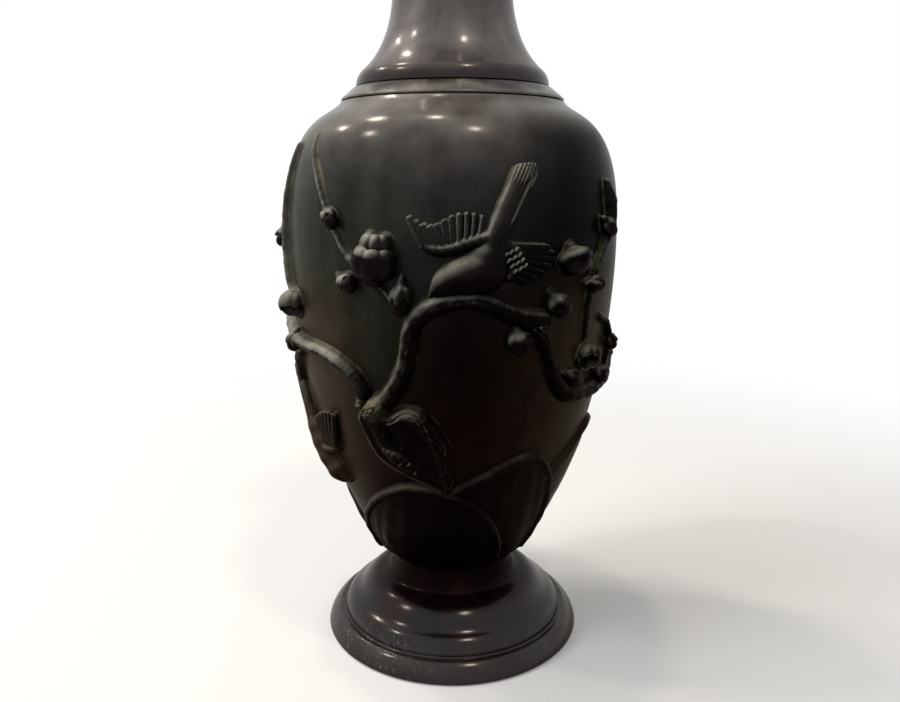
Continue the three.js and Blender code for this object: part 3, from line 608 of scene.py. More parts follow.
class Bronze(Nodes):
    """Dark patinated bronze, redder and darker low down, with light and shade painted into its colour."""

    def __init__(self, name, relief):
        super().__init__(bpy.data.materials.new(name))
        self.relief = relief
        self.where = self.add("TexCoord").outputs["Object"]
        place = self.add("SeparateXYZ", i0=self.where).outputs
        self.inputs = {key: self.noise(self.where, *size) for key, size in NOISES.items()}
        self.inputs["x"] = place[0]
        self.inputs["share"] = self.times(place[2], 1 / (NECK_TOP * MM))

    def mask(self, key):
        """The product of the steps of a mask."""
        return self.times(*(self.ramp(self.inputs[what], *span) for what, *span in MASKS[key]))

    def paint(self, factor, colour, kind="MIX"):
        """Lays a colour over what was laid before."""
        self.colour = self.mix(factor, self.colour, colour, kind)

    def patina_and_painted_light(self):
        """Colours and polish that turned pieces and relief share, with painted light: a lighter left side and
        rim, a shaded right side, and warm reflections low on both sides.
        """
        share = self.inputs["share"]
        drift = self.math("MULTIPLY_ADD", self.inputs["broad"], *DRIFT)
        self.colour = self.gradient(self.math("MULTIPLY_ADD", drift, self.mask("drift"), share), PATINA_AND_PAINTED_LIGHT)
        self.paint(self.times(self.mask("left"), OLIVE_AND_PAINTED_LIGHT_WEIGHT[self.relief]), OLIVE_AND_PAINTED_LIGHT)
        right = self.times(self.mask("right"), SHADE_WEIGHT)
        self.paint(right, SHADE)
        self.paint(self.mask("rim"), PAINTED_RIM_REFLECTION)
        flank = self.math("MAXIMUM", self.mask("flank_left"), self.mask("flank_right"))
        taken = self.mask("flank_relief") if self.relief else PAINTED_FLANK_REFLECTION_WEIGHT
        self.paint(self.times(flank, self.mask("flank"), taken), PAINTED_FLANK_REFLECTION)
        self.paint(self.mask("stain"), STAIN)
        drawn = self.add("VectorMath", {"operation": "MULTIPLY"}, i0=self.where, i1=STREAK_STRETCH).outputs[0]
        self.paint(1.0, self.gradient(self.noise(drawn, *STREAK_NOISE), STREAKS), "MULTIPLY")
        self.paint(1.0, self.gradient(self.inputs["fine"], SPECKLES), "MULTIPLY")
        self.paint(self.mask("brown"), BROWN)
        self.gloss = self.times(self.gradient(share, GLOSS), self.math("SUBTRACT", 1.0, right))

    def scratches(self):
        """Fine scratches on the rim of the foot."""
        self.inputs["hairs"] = self.noise(self.where, *HAIR_NOISE)
        self.paint(self.mask("scratch"), WORN_AND_PAINTED_HIGHLIGHT)

    def wear_and_painted_light(self, metal):
        """Worn edges, dust, bare balls and a dull deposit, with painted light: shade under things and in the
        trunk's hollow, light on edges and faces turned up and to the left; what comes back is the share of
        metal.
        """
        normal = self.add("TexCoord").outputs["Normal"]
        self.inputs.update(
            facing=self.add("SeparateXYZ", i0=normal).outputs[2],
            lean=self.add("VectorMath", {"operation": "DOT_PRODUCT"}, i0=normal, i1=PAINTED_LIGHT_LEAN).outputs["Value"],
            bent=self.add("NewGeometry").outputs["Pointiness"],
            tone=self.add("Attribute", {"attribute_name": "tone"}).outputs["Fac"],
            out=self.add("Attribute", {"attribute_name": "out"}).outputs["Fac"],
        )
        edge, low_down, bare = self.mask("edge"), self.mask("low_down"), self.mask("bare")
        self.paint(self.mask("underside"), PAINTED_UNDERSIDE_SHADE, "MULTIPLY")
        self.paint(edge, self.mix(low_down, WORN_AND_PAINTED_HIGHLIGHT, EARTH_AND_PAINTED_LIGHT))
        self.paint(self.mask("dust_and_painted_light"), self.mix(low_down, DUST_AND_PAINTED_LIGHT, EARTH_AND_PAINTED_LIGHT))
        self.paint(self.times(bare, BARE_WEIGHT), BARE)
        self.paint(self.mask("pit_shade"), PAINTED_PIT_SHADE)
        hollow = self.times(self.math("MAXIMUM", self.mask("low"), self.mask("bent_in")), self.mask("hollow"))
        deposit = self.math("MAXIMUM", hollow, self.mask("knot"))
        self.paint(deposit, DEPOSIT)
        polish = self.times(bare, self.mask("polish"))
        gloss = self.math("MAXIMUM", self.times(self.gloss, RELIEF_POLISH), polish)
        gloss = self.math("MAXIMUM", gloss, self.times(edge, EDGE_POLISH))
        self.gloss = self.times(gloss, self.math("MULTIPLY_ADD", deposit, DULLED, 1))
        shown = self.math("MULTIPLY_ADD", edge, EDGE_METAL, metal)
        return self.times(shown, self.math("SUBTRACT", 1.0, deposit))


def bronze(name, metal, relief):
    """The material of turned pieces or of relief."""
    look = Bronze(name, relief)
    look.patina_and_painted_light()
    if relief:
        metal = look.wear_and_painted_light(metal)
    else:
        look.scratches()
    fine = look.inputs["fine"]
    height = look.math("MULTIPLY_ADD", look.inputs["speck"], SPECK_HEIGHT, fine)
    bump = look.add("Bump", Strength=BUMP_STRENGTH[relief], Distance=BUMP_DISTANCE, Height=height)
    look.fill(
        look.tree.nodes["Principled BSDF"],
        Base_Color=look.colour,
        Metallic=metal,
        Roughness=look.math("MULTIPLY_ADD", fine, *ROUGHNESS),
        Coat_Weight=look.gloss,
        Coat_Roughness=COAT_ROUGHNESS[relief],
        Specular_IOR_Level=SPECULAR_LEVEL,
        Specular_Tint=SPECULAR_TINT,
        Normal=bump.outputs[0],
    )
    return look.owner


# The turned castings.

SOCKET_LEDGE = 3  # width of the ledge that the body's tenon stands on
CROWN_LIFT = 3.2  # of the foot's hollow over its ring
ROLL_PITCH = 0.3
ROLL_WINDOW = 13  # points over which the foot's rolls are evened out
PLATE_BORE = 0.4
PLATE_SLACK = 1.5


def turned(name, node, line, turns, seed, size):
    """A casting turned about the axis from a closed outline, with the low waves of hand work."""
    angle = np.linspace(0, 2 * np.pi, turns, endpoint=False)[None, :]
    height = np.repeat(line[:, 1:], turns, 1)
    radius = line[:, :1] + unevenness(angle, height, seed, size)
    points = np.stack([radius * np.sin(angle), -radius * np.cos(angle), height], -1).reshape(-1, 3)
    finish(mesh_object(name, points, grid_faces(len(line), turns)[:, ::-1]), node, TURNED)


def foot_piece():
    """The foot: a slanted rim, a dome, a ring and a brow under an upright stem."""
    step = np.array([FOOT_STEP_RADIUS, FOOT_STEP_HEIGHT])
    dome = np.array([FOOT_STEP_RADIUS - FOOT_STEP_WIDTH, FOOT_STEP_HEIGHT + GROOVE])
    ring = np.array([FOOT_RING_RADIUS, FOOT_RING_HEIGHT])
    brow = np.array([FOOT_BROW_RADIUS, FOOT_BROW_HEIGHT])
    stem = np.array([STEM_RADIUS, FOOT_HEIGHT])
    rim = np.array([FOOT_RADIUS, FOOT_BEVEL])
    socket = TENON_RADIUS + GAP
    bore = socket - SOCKET_LEDGE
    ledge = FOOT_HEIGHT - TENON_LENGTH - GAP
    seat = PLATE_TOP + GAP
    crown = FOOT_RING_HEIGHT + CROWN_LIFT
    rolls = spaced(np.vstack([
        bezier(dome, (dome[0], ring[1] - 2.4), ring),
        bezier(ring, (ring[0] - 3.2, brow[1] - 2), brow)[1:],
        bezier(brow, (stem[0] + 0.8, brow[1] + 0.1), (stem[0] - 0.1, brow[1] + 0.6), stem)[1:],
    ]), ROLL_PITCH)
    even = [np.convolve(rolls[:, k], np.full(ROLL_WINDOW, 1 / ROLL_WINDOW), "valid") for k in (0, 1)]
    rolls[ROLL_WINDOW // 2:-(ROLL_WINDOW // 2)] = np.column_stack(even)
    line = outline(
        (FOOT_RADIUS - FOOT_BEVEL, 0),
        bezier(rim, (rim[0] - 1.1, step[1] - 2), step),
        dome + (GROOVE, -2 * GROOVE),
        rolls,
        (socket, FOOT_HEIGHT),
        (socket, ledge),
        (bore, ledge),
        bezier((bore, crown), (FOOT_BROW_RADIUS, crown), (PLATE_RADIUS - PLATE_SLACK, seat)),
        (PLATE_RADIUS + GAP, seat),
        (PLATE_RADIUS + GAP, 0),
    )
    turned("foot_casting", "foot", softened(line, 0.35), 256, seed=3, size=0.1)


def plate_piece():
    low = PLATE_TOP - PLATE_THICKNESS
    line = outline((PLATE_BORE, low), (PLATE_RADIUS, low), (PLATE_RADIUS, PLATE_TOP), (PLATE_BORE, PLATE_TOP))
    turned("base_disc", "base_plate", softened(line, 0.3), 128, seed=1, size=0)


def body_piece():
    bore = TENON_RADIUS - BODY_WALL
    tenon = WAIST_Z - TENON_LENGTH
    lid = SHOULDER_Z - BODY_WALL
    run = np.gradient(BODY, axis=0)
    run = run / np.hypot(*run.T)[:, None]
    inside = (BODY + BODY_WALL * np.column_stack([-run[:, 1], run[:, 0]]))[::12]
    inside = inside[(inside[:, 1] > WAIST_Z + BODY_WALL) & (inside[:, 1] < lid)][::-1]
    line = outline(
        (bore, tenon),
        (TENON_RADIUS, tenon),
        (TENON_RADIUS, WAIST_Z),
        spaced(BODY, 0.9),
        (MOUTH_BORE, SHOULDER_Z),
        (MOUTH_BORE, lid),
        inside,
        (bore, WAIST_Z + BODY_WALL),
    )
    turned("body_casting", "body", softened(line, 0.3), 448, seed=5, size=0.12)


def collar_piece():
    outer = MOUTH_BORE - GAP
    inner = outer - COLLAR_WALL
    low = COLLAR_Z - COLLAR_SPIGOT
    line = outline(
        (inner, low),
        (outer, low),
        (outer, COLLAR_Z),
        (SHOULDER_RADIUS, COLLAR_Z),
        (SHOULDER_RADIUS, COLLAR_Z + COLLAR_EDGE),
        (SKIRT_RADIUS + COLLAR_LEDGE, COLLAR_TOP),
        (inner, COLLAR_TOP),
    )
    turned("collar_ring", "shoulder_collar", softened(line, 0.35), 256, seed=7, size=0.05)


def trumpet(start, end):
    """The curve of the neck's flaring mouth."""
    rise, spread = end[1] - start[1], end[0] - start[0]
    turn = (start[0] + 0.3 * spread, end[1] - 0.27 * rise)
    return bezier(start, start + (0, 0.36 * rise), turn, end, steps=60)


def neck_piece():
    spigot = MOUTH_BORE - GAP - COLLAR_WALL - GAP
    bore = spigot - NECK_WALL
    low = NECK_Z - NECK_SPIGOT
    roll = np.array([SKIRT_RADIUS - SKIRT_STEP, NECK_Z + SKIRT_ROLL])
    throat = np.array([THROAT_RADIUS, NECK_Z + THROAT_HEIGHT])
    hollow = throat - (NECK_WALL, 0)
    lip = arc((LIP_RADIUS - LIP_ROLL, NECK_TOP - LIP_ROLL), LIP_ROLL, -108, 162, 20)
    line = outline(
        (bore, low),
        (spigot, low),
        (spigot, NECK_Z),
        bezier((SKIRT_RADIUS, NECK_Z), (SKIRT_RADIUS, NECK_Z + 0.6 * SKIRT_ROLL), roll, steps=12),
        bezier(roll, roll + (-4.6, 4), throat + (0.9, -17.5), throat, steps=50)[1:],
        trumpet(throat, lip[0])[1:],
        lip[1:],
        trumpet(hollow, lip[-1])[-2::-1],
        (bore, NECK_Z + SKIRT_ROLL),
    )
    turned("neck_casting", "neck", softened(line, 0.4), 320, seed=9, size=0.08)


# Relief.

LIMB_PITCH = 0.35
FLOWER_PITCH = 0.25
TRUNK_PITCH = 0.3
BIRD_PITCH = 0.22
BIRD_TOP = 7.4
HILL_FOOT = 2.6  # per cent of the body's height
HILL_PATCH_FOOT = 2.4
RIDGE_HALF = 1.5
RIDGE_RISE = 1.1
FEATHER_TILT = 0.22
FEATHER_SHAFT = 0.1
MARK_RISE = 0.8


def ellipsoid(x, y, z, a, b, c):
    """Distance, near enough, to an ellipsoid with these half axes."""
    return (np.sqrt((x / a) ** 2 + (y / b) ** 2 + (z / c) ** 2) - 1) * min(a, b, c)


def rough(patch, seed, pitch, size):
    """Smooth random bumps over a patch, in millimetres."""
    random = np.random.default_rng(seed)
    x, y = patch.away(patch.degrees.mean(), patch.up.mean())
    total = np.zeros_like(x)
    for _ in range(14):
        turn, phase = random.uniform(0, np.pi), random.uniform(0, 2 * np.pi)
        wave = 2 * np.pi / pitch * random.uniform(0.6, 1.6)
        total += np.sin(wave * (x * np.cos(turn) + y * np.sin(turn)) + phase)
    return size * total / 14**0.5


def step(value, low, high):
    """A smooth step from 0 at low to 1 at high."""
    share = np.clip((value - low) / (high - low), 0, 1)
    return share * share * (3 - 2 * share)


def region(patch, corners):
    """Signed distance to a smooth closed outline of [degrees, per cent]: negative inside."""
    closed = corners + corners[:1]
    edge = Strand(patch, closed, 6)
    line = smooth_line(closed, 6)
    x, y = np.broadcast_arrays(patch.east, patch.north)
    inside = np.zeros(x.shape, bool)
    for (ax, ay), (bx, by) in zip(line, np.roll(line, -1, axis=0)):
        crosses = (ay > y) != (by > y)
        inside ^= crosses & (x < ax + (bx - ax) * (y - ay) / (by - ay + 1e-9))
    return np.where(inside, -edge.distance, edge.distance)


def slab(patch, distance, top, edge=0.5):
    """The solid under a height, inside a signed distance, with a rounded edge."""
    across = distance[:, :, None] + edge
    over = patch.height - top[:, :, None] + edge
    corner = np.sqrt(np.maximum(across, 0) ** 2 + np.maximum(over, 0) ** 2)
    return corner + np.minimum(np.maximum(across, over), 0) - edge


def spread(rows):
    """Lowest and highest degrees and per cents of a list of stations."""
    rows = np.array([row[:2] for row in rows], float)
    low, high = rows.min(0), rows.max(0)
    return (low[0], high[0]), (low[1], high[1])


def branch_piece(node, stations, knot_length=0):
    """A limb with long low grains in its bark; a deposit covers a knot at its start."""
    patch = Patch(*spread(stations), 0.5 + max(row[3] for row in stations), LIMB_PITCH)
    strand = Strand(patch, stations)
    half = strand.columns[0]
    swell = 0.03 * np.sin(strand.along * 0.45) + 0.02 * np.sin(strand.along * 1.1 + 1)
    field = strand.limb(patch, swell)
    grain = 0.05 * np.sin(7 * strand.side / half + 0.5 * np.sin(strand.along * 0.4)) * step(half, 1.2, 2)
    knobs = rough(patch, len(node), 1.6, 0.25) * step(-strand.along, -knot_length, 0) if knot_length else 0
    field = field + (grain + knobs + rough(patch, len(node), 2.6, 0.035))[:, :, None]
    knot = -step(-strand.along, -knot_length, -0.4 * knot_length)[:, :, None] if knot_length else None
    patch.piece(node, field, near=strand.distance - half, tone=knot)


class Bloom:
    """A patch with coordinates about the axis of a bud or blossom: ahead along it, and two across."""

    def __init__(self, degrees, percent, radius, length, points, rise, lift):
        reach = max(radius, 0.7 * length) + 1
        turn = math.degrees(reach / np.interp(travel(percent), BODY_TRAVEL, BODY[:, 0]))
        share = 100 * reach / (SHOULDER_Z - WAIST_Z)
        ends = (percent - share, min(percent + share, 99))
        self.patch = Patch((degrees - turn, degrees + turn), ends, reach + 2.2, FLOWER_PITCH, base=-0.7)
        x, y = self.patch.away(degrees, travel(percent))
        heading, climb = math.radians(points), math.radians(rise)
        forward = (x * math.sin(heading) + y * math.cos(heading))[:, :, None]
        height = self.patch.height - lift
        self.side = (x * math.cos(heading) - y * math.sin(heading))[:, :, None]
        self.ahead = forward * math.cos(climb) + height * math.sin(climb)
        self.up = height * math.cos(climb) - forward * math.sin(climb)
        self.angle = np.arctan2(self.side, self.up)
        self.radius = np.sqrt(self.side**2 + self.up**2)

    def ball(self, ahead, half, long):
        """An ellipsoid on the axis, this far ahead."""
        return ellipsoid(self.side, self.up, self.ahead - ahead, half, half, long)


def bud_piece(node, place, lift=2.0, rise=15, cap=0.0, lobes=5):
    """A bud whose round ball stands out of a lobed cap; cap moves the cap's edge towards the tip."""
    bloom = Bloom(*place, rise, lift)
    radius, length = place[2:4]
    ball = bloom.ball(0.15 * length, 0.86 * radius, 0.35 * length)
    crease = 0.1 * np.abs(np.sin(1.5 * bloom.angle)) * step(bloom.ahead, 0, 0.5 * length)
    lobed = 0.09 * np.cos(lobes * bloom.angle)
    across = bloom.radius / (radius * (1.06 + lobed))
    along = (bloom.ahead + 0.1 * length) / (0.42 * length)
    shell = (np.sqrt(across**2 + along**2) - 1) * radius
    brim = bloom.ahead - (cap + 0.02 + lobed) * length
    shell = -blend(-shell, -brim, 0.5)
    stalk = bloom.ball(-0.5 * length, 0.42 * radius, 0.28 * length)
    field = blend(blend(ball + crease, shell, 0.2), stalk, 1.0)
    bloom.patch.piece(node, field, 1.6, tone=step(shell - ball, -0.1, 0.3))


def blossom_piece(node, place, lift=1.6, rise=40, petals=5, hollow=0.7, bare=0.0):
    """An open blossom: rounded petals round a hollow, with a ball in the middle and a small calyx."""
    bloom = Bloom(*place, rise, lift)
    radius, length = place[2:4]
    field = None
    for i in range(petals):
        angle = 0.3 + 2 * math.pi * i / petals
        east, up = math.sin(angle), math.cos(angle)
        outward = bloom.side * east + bloom.up * up - 0.5 * radius
        across = bloom.side * up - bloom.up * east
        half = min(0.6, 3.9 / petals) * radius
        petal = ellipsoid(outward, across, bloom.ahead - 0.04 * length, 0.5 * radius, half, 0.5 * length)
        field = petal if field is None else blend(field, petal, 0.25)
    if hollow:
        field = -blend(-field, bloom.ball(0.52 * length, hollow * radius, 0.6 * length), 0.3)
    ball = bloom.ball(0.06 * length, 0.36 * radius, 0.3 * length)
    bare = np.maximum(bare * step(-bloom.ahead / length, -0.42, -0.24), step(field - ball, -0.1, 0.2))
    stalk = np.maximum(bloom.radius - 0.45 * radius, np.abs(bloom.ahead + 0.45 * length) - 0.2 * length)
    bloom.patch.piece(node, blend(np.minimum(field, ball), stalk, 0.7), 1.4, tone=bare)


def hill_piece(node, proud, ridge):
    """A hill: a thin skin under a rolled ridge, with soft folds that run down from the ridge."""
    seed = 1 + len(node)
    start, end = ridge[0][0], ridge[-1][0]
    patch = Patch(*spread(ridge + [[start, HILL_PATCH_FOOT]]), proud + 1.6, LIMB_PITCH)
    strand = Strand(patch, [[*place, RIDGE_HALF, proud + RIDGE_RISE] for place in ridge])
    line = smooth_line(ridge)
    top = np.interp(patch.degrees, line[:, 0], line[:, 1], left=-99, right=-99)[:, None]
    sides = np.minimum(patch.east - start, end - patch.east) * patch.scale
    under = np.where((patch.north < top) & (sides > 0), -strand.distance, strand.distance)
    foot = travel(HILL_FOOT) - patch.north + 0 * under
    distance = np.maximum(np.maximum(under, -sides), foot)
    depth = top - patch.north
    fan = (patch.east - patch.degrees.mean()) * patch.scale / (8 + 0.5 * np.maximum(depth, 0))
    folds = 0.14 * np.sin(3.2 * fan * np.pi + seed) * step(depth, 1, 8) * step(-foot, 2, 12)
    skin = proud * (0.75 + 0.25 * step(-depth, -30, 0)) + folds + rough(patch, seed, 9, 0.06)
    roll = strand.limb(patch, 0.05 * np.sin(strand.along * 0.6))
    field = np.maximum(blend(slab(patch, distance, skin, 0.45), roll, 0.7), foot[:, :, None])
    patch.piece(node, field, near=distance, reach=1.8)


TRUNK_OUTLINE = [
    [-31.5, 41], [-33, 38.6], [-31, 35.4], [-28.8, 32.4], [-23.8, 29.6], [-12, 26.6], [-4.4, 25],
    [-1.6, 25.2], [-2, 29], [-5, 35.6], [-9, 39.6], [-14, 41.8], [-22, 41.8],
]
TRUNK_HOOK = [
    [-22.4, 39, 1.4, 2.4], [-19, 40.6, 2, 3.8], [-14.8, 41.4, 2.4, 4.5], [-11, 40.5, 2.8, 4.8],
    [-7.3, 38, 3, 4.8], [-4.8, 35, 3.1, 4.6], [-2.9, 31.6, 3, 4.2], [-2, 27.7, 2.7, 3.4],
    [-2, 24.5, 2.2, 2.4],
]
TRUNK_BAND = [
    [-24.8, 33, 1.7, 2.6], [-20.9, 32, 2.5, 3.6], [-17.4, 30.7, 2.6, 3.6], [-13.9, 29.4, 2.3, 3.2],
    [-10, 27.6, 1.4, 2.2],
]
TRUNK_ROOT = [
    [-34.2, 39.3, 0.7, 1.5], [-30, 32.7, 0.7, 1.5], [-24.4, 29.6, 0.7, 1.5], [-12.1, 26.4, 0.7, 1.5],
    [-5, 24.6, 0.7, 1.5],
]
TRUNK_HOLLOW = (-21.4, 36.3)
TRUNK_TOP = 6


def trunk_piece():
    """The old trunk: a cracked hook round a hollow darkened with painted shade, a pitted inner band and a thin
    root line.
    """
    patch = Patch(*spread(TRUNK_OUTLINE + TRUNK_HOOK + TRUNK_ROOT), TRUNK_TOP, TRUNK_PITCH)
    hook, band, root = Strand(patch, TRUNK_HOOK), Strand(patch, TRUNK_BAND), Strand(patch, TRUNK_ROOT)
    inside = region(patch, TRUNK_OUTLINE)
    skin = 0.5 + 1.3 * step(-inside, 0, 4) + rough(patch, 4, 4, 0.1)
    field = slab(patch, inside, skin, 0.4)
    bark = 0.16 * np.abs(np.sin(1.6 * hook.side + 0.9 * np.sin(hook.along * 0.35)))
    bark = bark + rough(patch, 8, 2.2, 0.05)
    crack = 0.35 * step(np.sin(hook.side * 1.2 + np.sin(hook.along * 0.5) + 0.6), 0.86, 1)
    pits = 0.45 * step(rough(patch, 6, 3, 1), 0.9, 1.7)
    field = blend(field, hook.limb(patch) + (bark + crack)[:, :, None], 0.6)
    field = blend(field, band.limb(patch) + (pits + rough(patch, 5, 2, 0.07))[:, :, None], 0.5)
    field = blend(field, root.limb(patch), 0.5)
    x, y = patch.away(TRUNK_HOLLOW[0], travel(TRUNK_HOLLOW[1]))
    slant = x + 0.35 * y
    hollow = ellipsoid(slant[:, :, None], y[:, :, None], patch.height - 2.8, 2.8, 5, 2.7)
    field = -blend(-field, hollow, 0.6)
    near = np.minimum(np.minimum(inside, hook.distance - 2.6), root.distance - 0.7)
    # painted shade in the hollow, carried as tone 2
    pit_shade = 2 * step(-np.hypot(slant / 3, y / 5), -1.2, -0.55)[:, :, None]
    patch.piece("trunk", field, near=near, reach=1.8, tone=pit_shade)


def feather(patch, quill):
    """A flat feather that lies higher on its left side, with a fine shaft."""
    half, proud = quill[4:]
    strand = Strand(patch, [[*quill[:2], half, proud], [*quill[2:4], 0.9 * half, 0.72 * proud]], 1)
    side = strand.side / strand.columns[0]
    top = strand.columns[1] * (1 - 0.1 * side**2) + FEATHER_TILT * side
    top = top + FEATHER_SHAFT * np.exp(-((side / 0.16) ** 2)) + 0.04 * np.sin(14 * side)
    return slab(patch, strand.distance - strand.columns[0], top, 0.3)


def bird_tail(patch, tail):
    """A fan of ribbed tail feathers, parted by one deep groove and one fine line."""
    fan = Strand(patch, tail)
    root, tip = tail[0], tail[-1]
    x, y = patch.away(root[0], travel(root[1]))
    run, climb = (tip[0] - root[0]) * patch.scale.mean(), travel(tip[1]) - travel(root[1])
    length = math.hypot(run, climb)
    share = (x * run + y * climb) / length**2
    across = (x * climb - y * run) / length / fan.columns[0]
    ribs = 0.22 * np.cos(8 * np.pi * across) * step(share, 0.75, 0.95)
    groove = 0.9 * np.exp(-(((across - 0.3) / 0.13) ** 2))
    groove = groove * step(share, 0.15, 0.4) * step(-share, -0.98, -0.85)
    line = 0.35 * np.exp(-(((across - 0.66) / 0.08) ** 2))
    top = fan.columns[1] + 0.4 - 1.1 * across**2 - 0.4 * step(across, 0.1, 0.9) + ribs - groove - line
    return slab(patch, fan.distance - fan.columns[0], top, 0.9)


def bird_piece(node, body, tail, quills, coverts, marks=()):
    """A bird in flight: a plump body, a ribbed tail, and wings of single feathers under coverts."""
    ends = [quill[:2] for quill in quills] + [quill[2:4] for quill in quills]
    patch = Patch(*spread(body + tail + coverts[0] + ends), BIRD_TOP, BIRD_PITCH)
    field = None
    for quill in quills:
        vane = feather(patch, quill)
        field = vane if field is None else blend(field, vane, 0.12)
    for covert in coverts:
        strand = Strand(patch, covert)
        rows = 0.05 * np.sin(strand.along * 2.6 + 1.2 * strand.side)
        field = blend(field, strand.limb(patch) + rows[:, :, None], 0.3)
    field = blend(field, bird_tail(patch, tail), 0.5)
    trunk = Strand(patch, body)
    field = blend(field, trunk.limb(patch, 0.02 * np.sin(trunk.along)), 0.7)
    for degrees, percent, length, width, turn, height in marks:
        x, y = patch.away(degrees, travel(percent))
        along = x * math.cos(turn) + y * math.sin(turn)
        aside = y * math.cos(turn) - x * math.sin(turn)
        place = along[:, :, None], aside[:, :, None], patch.height - height
        field = blend(field, ellipsoid(*place, length, width, MARK_RISE), 0.15)
    patch.piece(node, field, skirt=0.9, reach=1.8)


HILLS = {
    "hill_front": (1.5, [
        [-63, 4], [-56, 10.5], [-46, 16], [-35, 20.6], [-23, 24], [-12, 24.8], [0.9, 23], [12, 19.2],
        [24, 11.5], [31, 4],
    ]),
    "hill_right": (1.1, [
        [-1.7, 23.8], [11, 27], [24.4, 30.4], [33, 30.6], [41, 27.4], [48, 22], [55, 14], [60, 4],
    ]),
    "hill_far_right": (0.8, [[43, 24.2], [54, 28], [66, 32.4], [78, 33], [90, 28.6], [102, 19], [110, 4]]),
    "hill_back_right": (1.1, [[92, 4], [101, 18], [114, 26], [130, 28.8], [146, 25], [159, 16], [168, 4]]),
    "hill_back_left": (0.8, [[150, 4], [160, 15.6], [176, 23.4], [196, 22.8], [212, 14], [222, 4]]),
    "hill_far_left": (1.1, [[204, 4], [214, 17], [230, 26], [248, 26], [264, 18.5], [277, 10.5], [286, 4]]),
}
BRANCHES = {
    "branch_main": [
        [-29.5, 41.2, 3, 3.6], [-26, 42.4, 3.6, 4.8], [-22, 44, 3, 4.6], [-17.6, 47.6, 2.6, 4.5],
        [-15, 50.8, 2.5, 4.4], [-13.5, 54.4, 2.5, 4.4], [-12.7, 57.3, 2.6, 4.5], [-11, 59.8, 2.8, 4.8],
        [-7.9, 61.8, 2.8, 4.8], [-3.4, 63, 2.7, 4.6], [0.7, 63.5, 2.4, 4.4], [5.3, 63.7, 2.4, 4.4],
        [10.4, 62.9, 2.4, 4.4], [14.8, 61.6, 2.5, 4.2], [19.4, 60.2, 2.6, 4], [24.2, 59.4, 3, 4],
        [29, 59.2, 2.6, 3.4],
    ],
    "branch_right": [
        [26.4, 58.4, 2.4, 3.8], [29.4, 54.6, 2, 3.8], [32, 51, 1.9, 3.8], [34.4, 48, 2.1, 4],
        [38.4, 45.2, 2.6, 4.2], [44.2, 43.3, 2.9, 4.4], [51.7, 42.8, 2.6, 4.2], [61.4, 43.1, 2.4, 4],
        [71, 43.6, 2.4, 4], [82, 45.6, 2.3, 3.8], [93, 49, 2.2, 3.6], [104, 51, 2, 3.4], [115, 52, 1.8, 3.2],
    ],
    "branch_left": [
        [-31.4, 42.6, 2.2, 3.8], [-30.4, 45, 2.1, 3.8], [-32.5, 47.6, 2.1, 3.8], [-36, 49.4, 2.1, 3.8],
        [-41.5, 50.9, 2.1, 3.8], [-48.3, 51.9, 2, 3.6], [-56, 52, 2, 3.6], [-66, 52.4, 2.2, 3.8],
        [-78, 54, 2.1, 3.6], [-90, 56.6, 2, 3.6], [-102, 58.6, 1.9, 3.4], [-113, 60, 1.7, 3],
    ],
    "branch_low": [
        [-67, 49.6, 1.7, 3], [-72, 47.4, 1.9, 3.2], [-75.5, 44, 1.8, 3.2], [-77, 40.6, 1.6, 3],
        [-76, 37.6, 1.3, 2.4],
    ],
    "twig_upper_left": [
        [-54, 92.6, 0.9, 1.1], [-52, 89.6, 0.9, 1.3], [-47, 85, 0.8, 1.5], [-41.2, 79, 0.8, 1.7],
        [-37.6, 75.6, 1, 2], [-34, 72, 1, 2], [-30.4, 69.8, 1.3, 2.3], [-26.6, 67.9, 1, 1.9],
        [-20.7, 65, 0.8, 1.6], [-16.5, 61.8, 0.8, 1.6],
    ],
    "stem_left": [
        [-68, 91, 1, 1.4], [-70.5, 84, 1.3, 1.9], [-72.5, 77, 1.6, 2.4], [-73, 70, 1.7, 2.6],
        [-70, 64, 1.6, 2.4], [-66.4, 61.4, 1.4, 2],
    ],
    "twig_right": [
        [58, 84, 1.3, 2], [59, 81, 2.2, 3.4], [59.4, 78, 2.2, 3.6], [58, 74.6, 1.5, 2.8],
        [54.4, 71.4, 1.1, 2.2], [51, 68.2, 1.1, 2.2], [48.6, 64, 1.1, 2], [47.4, 59, 1, 1.8],
        [48, 54.6, 1, 1.8],
    ],
    "twig_far_right": [
        [58, 57.6, 1, 1.8], [63, 56.4, 1.2, 2.2], [68.5, 53.4, 1.3, 2.6], [73.5, 49, 1.3, 2.4],
        [75, 45.6, 1.2, 2],
    ],
    "branch_back_right": [
        [114, 51.9, 1.8, 3.2], [127, 54.4, 1.8, 3.2], [137, 58, 1.7, 3], [146, 62.6, 1.6, 2.8],
        [155, 66, 1.6, 2.8], [165, 68, 1.5, 2.6], [173, 72, 1.2, 2.2], [178, 78, 1, 1.8], [181, 84, 0.9, 1.5],
    ],
    "twig_back_left": [
        [-110, 59.8, 1.4, 2.6], [-119, 63.4, 1.4, 2.5], [-126, 68, 1.2, 2.2], [-131, 73.6, 1.1, 2],
        [-133, 79.6, 1, 1.8], [-137, 85, 0.9, 1.5],
    ],
}
KNOTS = {"branch_main": 11, "branch_right": 5, "branch_left": 4}  # length of the knot at a start
